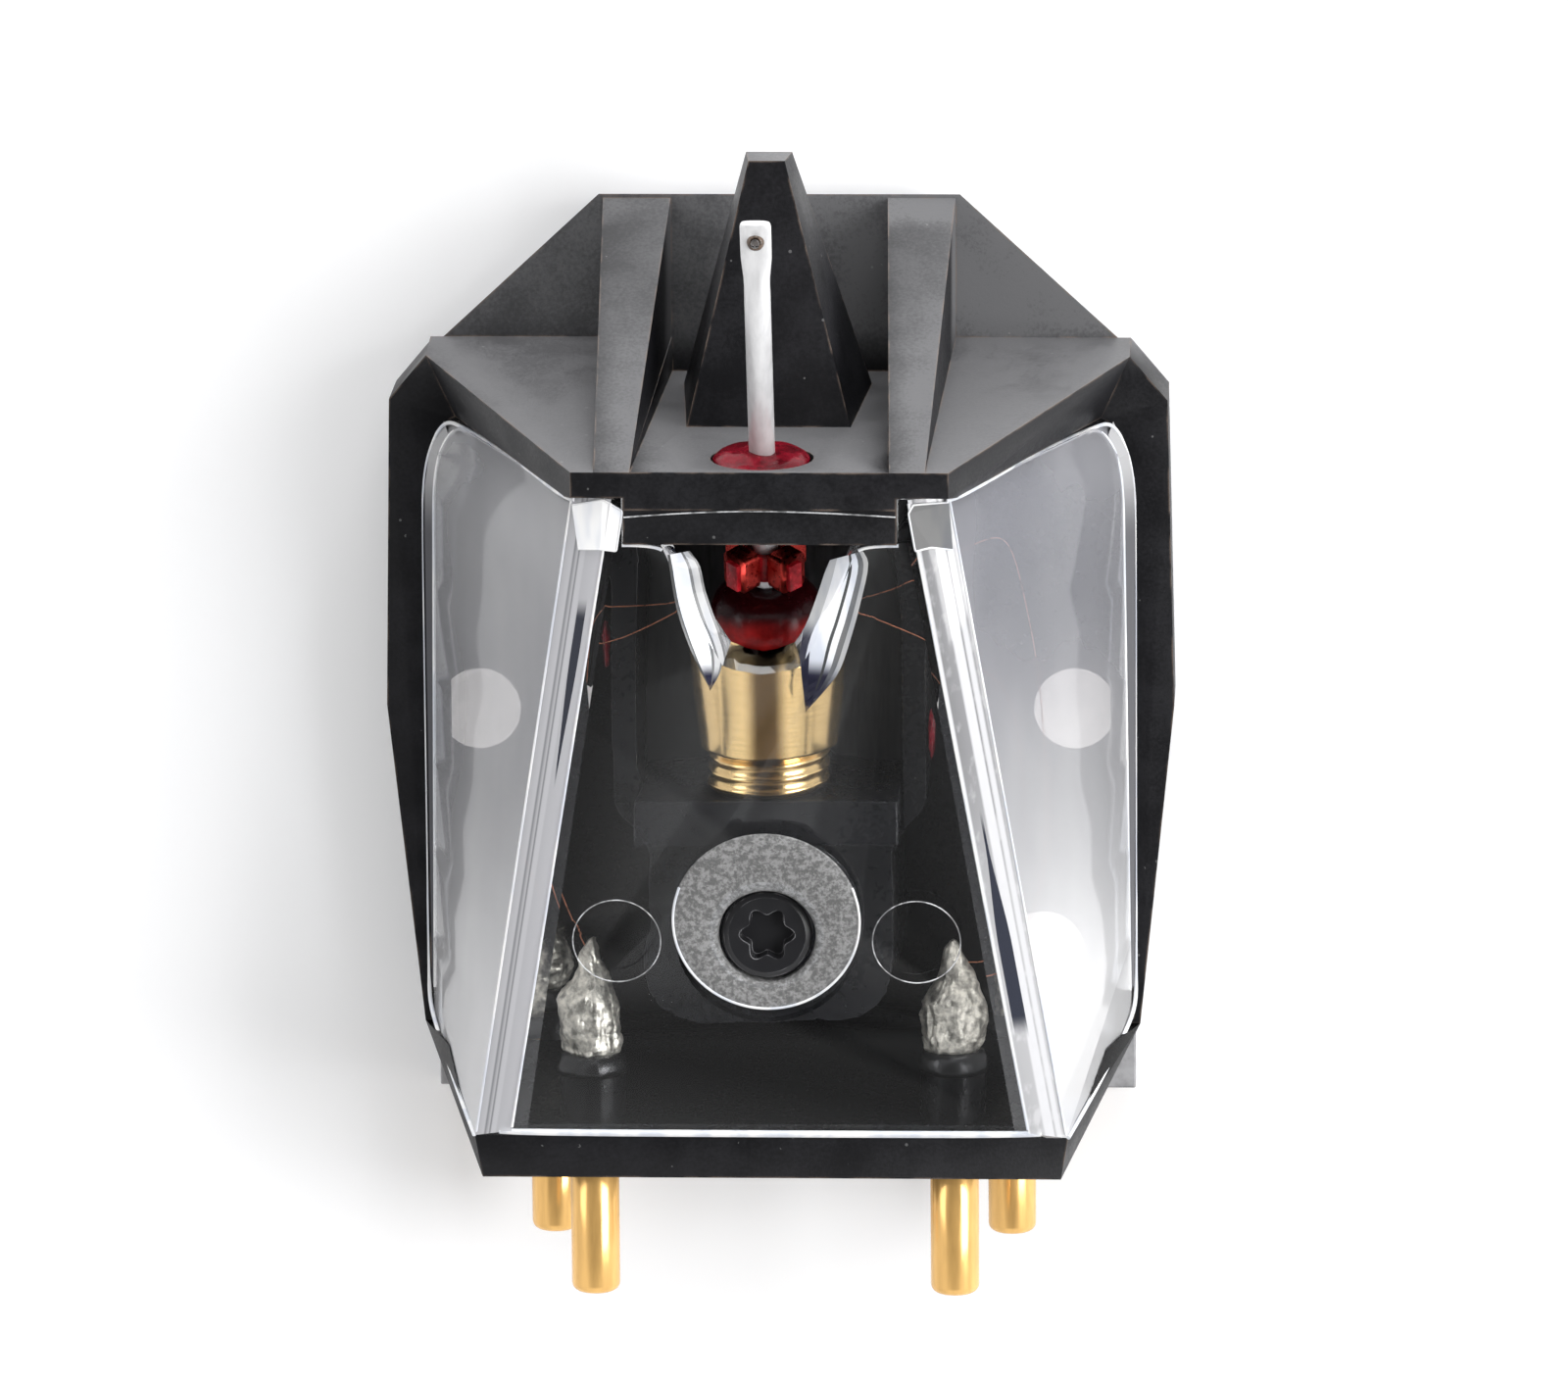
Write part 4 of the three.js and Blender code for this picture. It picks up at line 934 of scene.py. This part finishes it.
            front = [(3.46, 0.79), (3.0, 0.79), (2.62, 0.77), (2.46, 0.66)]
            glint(f"notch_rim_{name}", placed([(x, y, cover_top(y)) for x, y in front]), 0.045)
        glint("rear_rim", [
            (-6.9, -15.05, 9.7), (-6.3, -15.05, 9.88), (-3, -15.05, 9.92), (3, -15.05, 9.92), (6.3, -15.05, 9.88),
            (6.9, -15.05, 9.7)], 0.10)

    def ejector_ring(self, name, x, y):
        """Fine raised ring with a round lip."""
        lip = sizes().ring_wire / MM
        bm = bmesh.new()
        bmesh.ops.create_circle(bm, segments=8, radius=lip)
        turn(bm, Matrix.Translation((1.115, 0, 0)) @ Matrix.Rotation(math.pi / 2, 4, "X"))
        bmesh.ops.spin(
            bm, geom=bm.verts[:] + bm.edges[:], cent=(0, 0, 0), axis=(0, 0, 1),
            angle=2 * math.pi, steps=72, use_merge=True)
        turn(bm, Matrix.Translation((x, y, cover_top(y) + lip * 0.4)) @ COVER_TILT)
        finish_mesh(bm, name, "clear_rough")

    def build(self):
        bm = node_copy("clear_cover")
        for vert in bm.verts:
            # The notch's end wall leans forward from its foot, which shows the barrel's rim
            if abs(vert.co.x) < 0.9 and -2.5 < vert.co.y < -2.1 and vert.co.z < 11.3:
                vert.co += Vector((0, 0.30, 0.30 * COVER_SLOPE))
        cover = finish_mesh(bm, "clear_lid", "clear", ["clear_cover"])
        self.face_kinds(cover)
        rounded_edges(cover, sizes().cover_round)
        self.seat()
        for side, name in SIDES:
            self.ejector_ring(f"ejector_ring_{name}", side * 3.8, -9.8)
        self.flat_disc("window_disc_left", -7.81, -5.63)
        self.flat_disc("window_disc_right", 7.63, -5.58)
        self.flat_disc("window_disc_rear", 6.80, -12.07)
        # Painted highlights and painted dark reflections on the notch's walls, band by band
        self.ribbon("notch_wall_left", LEFT_OUTER, LEFT_INNER, (
            (0.0, 0.10, "wall_dark_reflection"), (0.10, 0.60, "wall_white_highlight"), (0.60, 0.70, "wall_grey_highlight"),
            (0.70, 0.92, "wall_pale_highlight"), (0.92, 1.0, "wall_grey_highlight")))
        self.ribbon("notch_wall_right", RIGHT_OUTER, RIGHT_INNER, (
            (0.0, 0.10, "wall_pale_highlight"), (0.10, 0.22, "wall_grey_highlight"), (0.22, 0.36, "wall_white_highlight"),
            (0.36, 0.43, "wall_dark_reflection"), (0.43, 0.78, "wall_white_highlight"), (0.78, 1.0, "wall_early_highlight")))
        # Corner blocks painted as light on the cover: a glowing white one on the left, a grey one on the right
        self.patch("corner_block_left", [
            (-4.71, 1.76, 11.95), (-3.92, 1.98, 12.32), (-3.43, 1.7, 12.38), (-3.6, 0.64, 12.22),
            (-4.0, 0.68, 12.19), (-4.57, 0.63, 11.93)], "corner_glow")
        self.patch("corner_block_right", [
            (4.71, 1.86, 11.96), (3.84, 1.87, 12.35), (3.72, 1.65, 12.37), (3.88, 0.66, 12.23),
            (4.27, 0.73, 12.08), (4.80, 0.62, 11.85)], "wall_grey_highlight")
        self.rims()
        bead = [(-3.40, 1.54), (-2.2, 1.64), (-0.8, 1.71), (0.8, 1.70), (2.2, 1.64), (3.40, 1.56)]
        wire(
            "bridge_bead", [(x, y, COVER_HEIGHT) for x, y in bead], sizes().bead / MM, "clear_rough")


class CARTRIDGE_OT_screw(PieceOperator):
    """Black screw with a six-lobe recess"""

    bl_idname = "cartridge.screw"
    bl_label = "Cover screw"

    def build(self):
        seat, top, deep = 9.74, 10.44, 0.40
        bm = bmesh.new()
        lobed = bmesh.ops.create_circle(bm, segments=72, radius=1.0)["verts"]
        for vert in lobed:
            angle = math.atan2(vert.co.y, vert.co.x)
            reach = 0.615 + 0.095 * math.cos(6 * angle)
            vert.co = Vector((reach * math.cos(angle), reach * math.sin(angle), top - 0.03))
        rim = bmesh.ops.create_circle(bm, segments=72, radius=0.98)["verts"]
        bmesh.ops.translate(bm, vec=(0, 0, top), verts=rim)
        inner_edges, edges = bridged(bm, [lobed, rim])
        floor = bmesh.ops.extrude_edge_only(bm, edges=inner_edges)["geom"]
        floor_verts = only(floor, bmesh.types.BMVert)
        bmesh.ops.translate(bm, vec=(0, 0, 0.03 - deep), verts=floor_verts)
        bmesh.ops.scale(bm, vec=(0.93, 0.93, 1), verts=floor_verts)
        bmesh.ops.contextual_create(bm, geom=only(floor, bmesh.types.BMEdge))
        for radius, drop in ((1.10, -0.04), (1.14, -0.10), (1.14, -0.70), (0.55, 0.0), (0.55, -2.9)):
            grown = bmesh.ops.extrude_edge_only(bm, edges=edges)["geom"]
            level = top + drop if radius > 0.6 else seat + drop
            for vert in only(grown, bmesh.types.BMVert):
                vert.co = (*Vector((vert.co.x, vert.co.y)).normalized() * radius, level)
            edges = only(grown, bmesh.types.BMEdge)
        bmesh.ops.contextual_create(bm, geom=edges)
        bmesh.ops.translate(bm, vec=(0, SCREW_Y, 0), verts=bm.verts)
        finish_mesh(bm, "six_lobe_screw", "screw", ["cover_screw"], smooth=False)


class CARTRIDGE_OT_generator(PieceOperator):
    """Black generator frame, pole pieces and magnet"""

    bl_idname = "cartridge.generator"
    bl_label = "Generator"

    def build(self):
        for name, piece, material, slot in (
            ("generator_frame", "black_generator_frame", "inner", "frame_plastic"),
            ("magnet", "ground_magnet", "iron", "magnet_iron"),
            ("front_pole_piece", "front_pole", "inner", "pole_iron"),
            ("rear_pole_piece", "rear_pole", "inner", "pole_iron"),
        ):
            made = finish_mesh(node_copy(name), piece, material, [name])
            rounded_edges(made, sizes().edge_round)
        for x, y, scale in ((-4.4, -13.95, 1.0), (4.5, -14.0, 0.8), (0.1, -13.2, 1.1)):
            bm = lumpy_ball(4, 0.55, lambda here: here + here.normalized() * 0.12 * noise.noise(
                here * 3 + Vector((x, y, 0))))
            bmesh.ops.scale(bm, vec=(1.3 * scale, 0.8 * scale, 0.35), verts=bm.verts)
            bmesh.ops.translate(bm, vec=(x, y, 1.68), verts=bm.verts)
            finish_mesh(bm, f"glue_lump_{round(x + 5)}", "glue")


class CARTRIDGE_OT_suspension(PieceOperator):
    """Gilded barrel with its thread, soft damper and tie wire"""

    bl_idname = "cartridge.suspension"
    bl_label = "Suspension"

    def build(self):
        crest, root, pitch, thread = 1.55, 1.42, 0.33, -6.10
        ridges = []
        for i in range(3):
            y = thread + i * pitch
            ridges += [(root, y), (crest - 0.03, y + pitch * 0.36), (crest, y + pitch * 0.5),
                       (crest - 0.03, y + pitch * 0.64)]
        profile = [
            (0, -7.25), (1.22, -7.25), (1.25, -7.20), (1.25, thread), *ridges, (root, thread + 3 * pitch),
            (root, -5.05), (1.70, -5.05), (1.765, -5.02), (1.79, -4.95), (2.07, -2.62), (2.08, -2.57), (2.05, -2.52),
            (1.98, -2.50), (0.34, -2.50), (0.30, -2.54), (0.30, -3.0), (0, -3.0)]
        finish_mesh(spun(profile, BARREL_AXIS, 128), "gilded_barrel", "gilt", ["suspension_barrel"])
        dome = [(0, -2.9), (1.43, -2.9), (1.45, -2.85), (1.45, -1.45), (1.44, -1.20), (1.40, -0.95), (1.31, -0.70),
                (1.15, -0.50), (0.92, -0.38), (0.66, -0.32), (0.24, -0.30), (0.22, -0.32), (0.22, -2.0), (0, -2.0)]
        bm = turn(spun(dome, steps=96), ALONG_AXIS)
        for vert in bm.verts:
            vert.co += vert.normal * 0.01 * noise.noise(vert.co * 2.5)
        cut(bm, (0, -2.45, 0), (0, 1, 0), clear_inner=True)
        finish_mesh(bm, "red_damper", "damper", ["damper_ring"])
        flange = [(0, -2.51), (1.90, -2.51), (1.94, -2.48), (1.92, -2.42), (1.80, -2.36), (1.50, -2.30), (0, -2.30)]
        finish_mesh(spun(flange, BARREL_AXIS, 96), "damper_flange", "damper")
        tie = [
            (0, -0.9), (0.12, -0.9), (0.12, -0.20), (0.36, -0.20), (0.40, -0.17), (0.40, 0.01), (0.37, 0.04), (0, 0.04)]
        bm = turn(spun(tie, steps=48), ALONG_AXIS)
        finish_mesh(bm, "steel_tie_wire", "tube", ["tie_wire"], "suspension")


class CARTRIDGE_OT_coils(PieceOperator):
    """Cross-shaped former and its four lacquered windings"""

    bl_idname = "cartridge.coils"
    bl_label = "Coils"

    def build(self):
        former = finish_mesh(
            node_copy("coil_former"), "red_former", "former", ["coil_former"], MOVING)
        rounded_edges(former, 0.03 * MM)
        for i, place in enumerate(("upper_right", "upper_left", "lower_left", "lower_right")):
            self.winding(f"winding_{place}", math.radians(45 + 90 * i), f"coil_{place}")

    def winding(self, name, angle, cad):
        """Ribbed winding along one arm, drawn out turn by turn from a rounded rectangle."""
        turns, ridge = 12, 0.955
        start, end = 0.545, 1.02
        bm = bmesh.new()
        bmesh.ops.create_grid(bm, x_segments=1, y_segments=1, size=1.0)
        bmesh.ops.scale(bm, vec=(0.41, 0.50, 1), verts=bm.verts)
        bmesh.ops.bevel(
            bm, geom=bm.verts[:], offset=0.17, offset_type="OFFSET", affect="VERTICES", segments=5,
            profile=0.5, material=-1)
        face = bm.faces[:]
        step = (end - start) / (2 * turns)
        for i in range(2 * turns):
            grown = bmesh.ops.extrude_face_region(bm, geom=face)["geom"]
            bmesh.ops.delete(bm, geom=[item for item in face if i], context="FACES_ONLY")
            face = only(grown, bmesh.types.BMFace)
            verts = face[0].verts[:]
            bmesh.ops.translate(bm, vec=(0, 0, step), verts=verts)
            size = ridge if i % 2 == 0 else 1 / ridge
            bmesh.ops.scale(bm, vec=(size, size, 1), verts=verts)
        to_arm = Matrix(((0, 0, 1, start), (0, 1, 0, 0.51), (1, 0, 0, 0), (0, 0, 0, 1)))
        turn(bm, ALONG_AXIS @ Matrix.Rotation(-angle, 4, "Y") @ to_arm)
        finish_mesh(bm, name, "winding", [cad], MOVING)


class CARTRIDGE_OT_cantilever(PieceOperator):
    """Aluminium cantilever with its spade, stylus and bond, and the red seal on the wall"""

    bl_idname = "cartridge.cantilever"
    bl_label = "Cantilever"

    def tube(self):
        """Round tube pressed flat towards its end."""
        stations = [(0.34, 0.33, 0.33), (8.30, 0.33, 0.33), (8.55, 0.325, 0.30), (8.80, 0.335, 0.22),
                    (9.05, 0.36, 0.165), (9.35, 0.385, 0.135), (9.70, 0.39, 0.13), (10.24, 0.39, 0.13),
                    (10.31, 0.375, 0.12), (10.35, 0.35, 0.10)]
        bm = bmesh.new()
        loops = []
        for y, wide, thick in stations:
            loops.append(bmesh.ops.create_circle(bm, segments=48, radius=1.0)["verts"])
            square = 1 - 0.55 * (0.33 - min(thick, 0.33)) / 0.33
            for vert in loops[-1]:
                across = math.copysign(abs(vert.co.x) ** square, vert.co.x)
                vert.co = Vector((wide * across, y, thick * vert.co.y))
        rings = bridged(bm, loops)
        for ring in (rings[0], rings[-1]):
            bmesh.ops.contextual_create(bm, geom=ring)
        return bm

    def build(self):
        tube = turn(self.tube(), ALONG_AXIS)
        finish_mesh(tube, "silver_cantilever", "tube", ["cantilever_tube"], MOVING)
        upright = (
            ALONG_AXIS @ Matrix.Translation((0, 9.81, 0)) @ Matrix.Rotation(-LEAN, 4, "X")
            @ Matrix.Rotation(math.pi / 2, 4, "X"))
        point = [(0, -0.208), (0.10, -0.208), (0.11, -0.198), (0.11, 0.43), (0.065, 0.50), (0.022, 0.575),
                 (0.010, 0.612), (0, 0.622)]
        finish_mesh(
            turn(spun(point, steps=32), upright), "dark_stylus", "stylus", ["stylus_tip"], MOVING)
        bond = [(0.112, 0.14), (0.22, 0.14), (0.20, 0.19), (0.15, 0.235), (0.112, 0.25), (0.112, 0.14)]
        finish_mesh(
            turn(spun(bond, steps=40), upright), "stylus_glue", "bond", ["stylus_bond"], MOVING)
        on_wall = Matrix.Translation((0, 2.72, 10.92)) @ Matrix.Rotation(math.radians(7.4), 4, "X")
        seal = turn(lumpy_ball(5, 1.0, self.spread), on_wall)
        finish_mesh(seal, "red_seal", "lacquer", ["front_seal"])

    def spread(self, here):
        """Flattens a place on a ball into the seal's uneven pad."""
        angle = math.atan2(here.z, here.x)
        reach = 1.22 + 0.05 * noise.noise(Vector((math.cos(angle), math.sin(angle), 0.3)) * 1.6)
        thick = 0.24 + 0.10 * noise.noise(here * 2.2 + Vector((0, 4, 0)))
        return Vector((here.x * reach, here.y * thick, here.z * reach))


class CARTRIDGE_OT_pins(PieceOperator):
    """Four gold pins"""

    bl_idname = "cartridge.pins"
    bl_label = "Pins"

    def build(self):
        for place, (x, z, outer, inner) in CORNERS.items():
            profile = [(0, outer), (0.42, outer), (0.50, outer + 0.02), (0.57, outer + 0.07), (0.61, outer + 0.14),
                       (0.625, outer + 0.22), (0.625, inner), (0.30, inner), (0.30, inner + 1.3), (0, inner + 1.3)]
            finish_mesh(
                spun(profile, (x, 0, z), 72), f"gold_pin_{place}", "gold", [f"pin_{place}"])


class CARTRIDGE_OT_solder(PieceOperator):
    """Rough drawn-out solder on the pins' tails"""

    bl_idname = "cartridge.solder"
    bl_label = "Solder"

    def build(self):
        shares = ((0, 0.0), (0.76, 0.0), (0.84, 0.06), (0.91, 0.18), (0.93, 0.32), (0.86, 0.47), (0.71, 0.60),
                  (0.50, 0.72), (0.34, 0.82), (0.25, 0.92), (0.14, 0.98), (0, 1.0))
        for seed, (place, (x, z, _, inner)) in enumerate(CORNERS.items()):
            near = place.startswith("near")
            rear = inner + 0.48
            reach = 2.9 if near else 2.1
            profile = [((0.9 if near else 0.58) * wide, rear + reach * along) for wide, along in shares]
            bm = spun(profile, steps=64)
            bmesh.ops.subdivide_edges(bm, edges=bm.edges[:], cuts=2, use_grid_fill=True)
            bmesh.ops.remove_doubles(bm, verts=bm.verts, dist=0.0005)
            for vert in bm.verts:
                here = vert.co + Vector((seed * 7.0, 0, 0))
                broad = noise.noise(here * 1.3) * 0.16
                fine = noise.noise(here * 4.2) * 0.07 + noise.noise(here * 9.0) * 0.03
                flat = Vector((vert.co.x, 0, vert.co.z))
                if flat.length > 0.02:
                    vert.co += flat.normalized() * (broad + fine) * min(1.0, flat.length / 0.3)
            bmesh.ops.translate(bm, vec=(x, 0, z), verts=bm.verts)
            finish_mesh(bm, f"tin_{place}", "solder", [f"solder_{place}"])
            boot = [
                (0, inner - 0.02), (0.86, inner - 0.02), (0.90, inner + 0.12), (0.84, inner + 0.34),
                (0.74, inner + 0.50), (0, inner + 0.50)]
            bm = spun(boot, (x, 0, z), 48)
            for vert in bm.verts:
                vert.co += vert.normal * 0.05 * noise.noise(vert.co * 3.1)
            finish_mesh(bm, f"solder_boot_{place}", "glue")


class CARTRIDGE_OT_leads(PieceOperator):
    """Fine copper leads and the red varnish that tacks them down"""

    bl_idname = "cartridge.leads"
    bl_label = "Leads"

    def build(self):
        routes = {
            "near_left": [
                (-1.9, -1.15, 9.9), (-3.3, -1.3, 9.7), (-4.6, -1.2, 9.2), (-5.35, -1.6, 8.6), (-5.65, -3.1, 8.0),
                (-5.9, -5.2, 7.6), (-5.9, -7.4, 7.5), (-5.3, -9.6, 7.6), (-4.63, -11.0, 7.6)],
            "far_left": [
                (-1.9, -1.25, 9.6), (-3.5, -2.2, 9.1), (-4.7, -2.3, 8.8), (-5.3, -3.2, 8.2), (-5.75, -4.9, 7.2),
                (-6.1, -6.8, 5.8), (-6.15, -8.8, 4.2), (-5.97, -10.5, 2.95)],
            "near_right": [
                (1.9, -1.15, 9.9), (3.3, -0.9, 9.9), (4.3, -0.3, 9.3), (5.5, 0.1, 8.0), (6.1, 0.0, 7.2),
                (6.45, -1.8, 6.6), (6.8, -3.7, 6.2), (6.95, -6.2, 6.0), (7.0, -8.3, 5.9), (6.7, -10.4, 6.4),
                (5.7, -11.4, 7.2), (4.63, -11.0, 7.6)],
            "far_right": [
                (1.9, -1.25, 9.6), (3.3, -1.9, 9.2), (4.4, -2.6, 8.7), (5.6, -3.6, 7.2), (6.15, -4.5, 6.4),
                (6.35, -6.3, 5.8), (6.45, -8.3, 5.0), (6.3, -9.9, 3.9), (5.97, -10.6, 2.95)],
        }
        for run, points in routes.items():
            wire(f"copper_lead_{run}", points, 0.016, "copper", [f"lead_{run}"])
        for hand, x, y in (("left", -4.12, -2.5), ("right", 4.12, -5.0)):
            bm = lumpy_ball(5, 1.0, lambda here: here * (1 + 0.16 * noise.noise(here * 1.9 + Vector((x, 0, 0)))))
            bmesh.ops.scale(bm, vec=(0.11, 0.62, 0.36), verts=bm.verts)
            bmesh.ops.translate(bm, vec=(x, y, 8.0), verts=bm.verts)
            finish_mesh(bm, f"varnish_{hand}", "lacquer", [f"varnish_tack_{hand}"])


class CARTRIDGE_PT_panel(bpy.types.Panel):
    """Lists the steps that build the cartridge"""

    bl_idname = "CARTRIDGE_PT_panel"
    bl_label = "Phono cartridge"
    bl_space_type = "VIEW_3D"
    bl_region_type = "UI"
    bl_category = "Cartridge"

    def draw(self, context):
        for group in (context.scene.cartridge_sizes, context.scene.cartridge_colours):
            box = self.layout.box()
            for name in group.__annotations__:
                box.prop(group, name)
        for step in STEPS:
            self.layout.operator(step.bl_idname)


STEPS = (
    CARTRIDGE_OT_stage,
    CARTRIDGE_OT_body,
    CARTRIDGE_OT_cover,
    CARTRIDGE_OT_screw,
    CARTRIDGE_OT_generator,
    CARTRIDGE_OT_suspension,
    CARTRIDGE_OT_coils,
    CARTRIDGE_OT_cantilever,
    CARTRIDGE_OT_pins,
    CARTRIDGE_OT_solder,
    CARTRIDGE_OT_leads,
)
CLASSES = (CartridgeColours, CartridgeSizes, *STEPS, CARTRIDGE_PT_panel)


def register():
    for item in CLASSES:
        bpy.utils.register_class(item)
    bpy.types.Scene.cartridge_colours = bpy.props.PointerProperty(type=CartridgeColours)
    bpy.types.Scene.cartridge_sizes = bpy.props.PointerProperty(type=CartridgeSizes)


def unregister():
    del bpy.types.Scene.cartridge_sizes
    del bpy.types.Scene.cartridge_colours
    for item in reversed(CLASSES):
        bpy.utils.unregister_class(item)


def main():
    register()
    MATERIALS.update(make_materials())
    for step in STEPS:
        group, name = step.bl_idname.split(".")
        getattr(getattr(bpy.ops, group), name)()


if __name__ == "__main__":
    main()
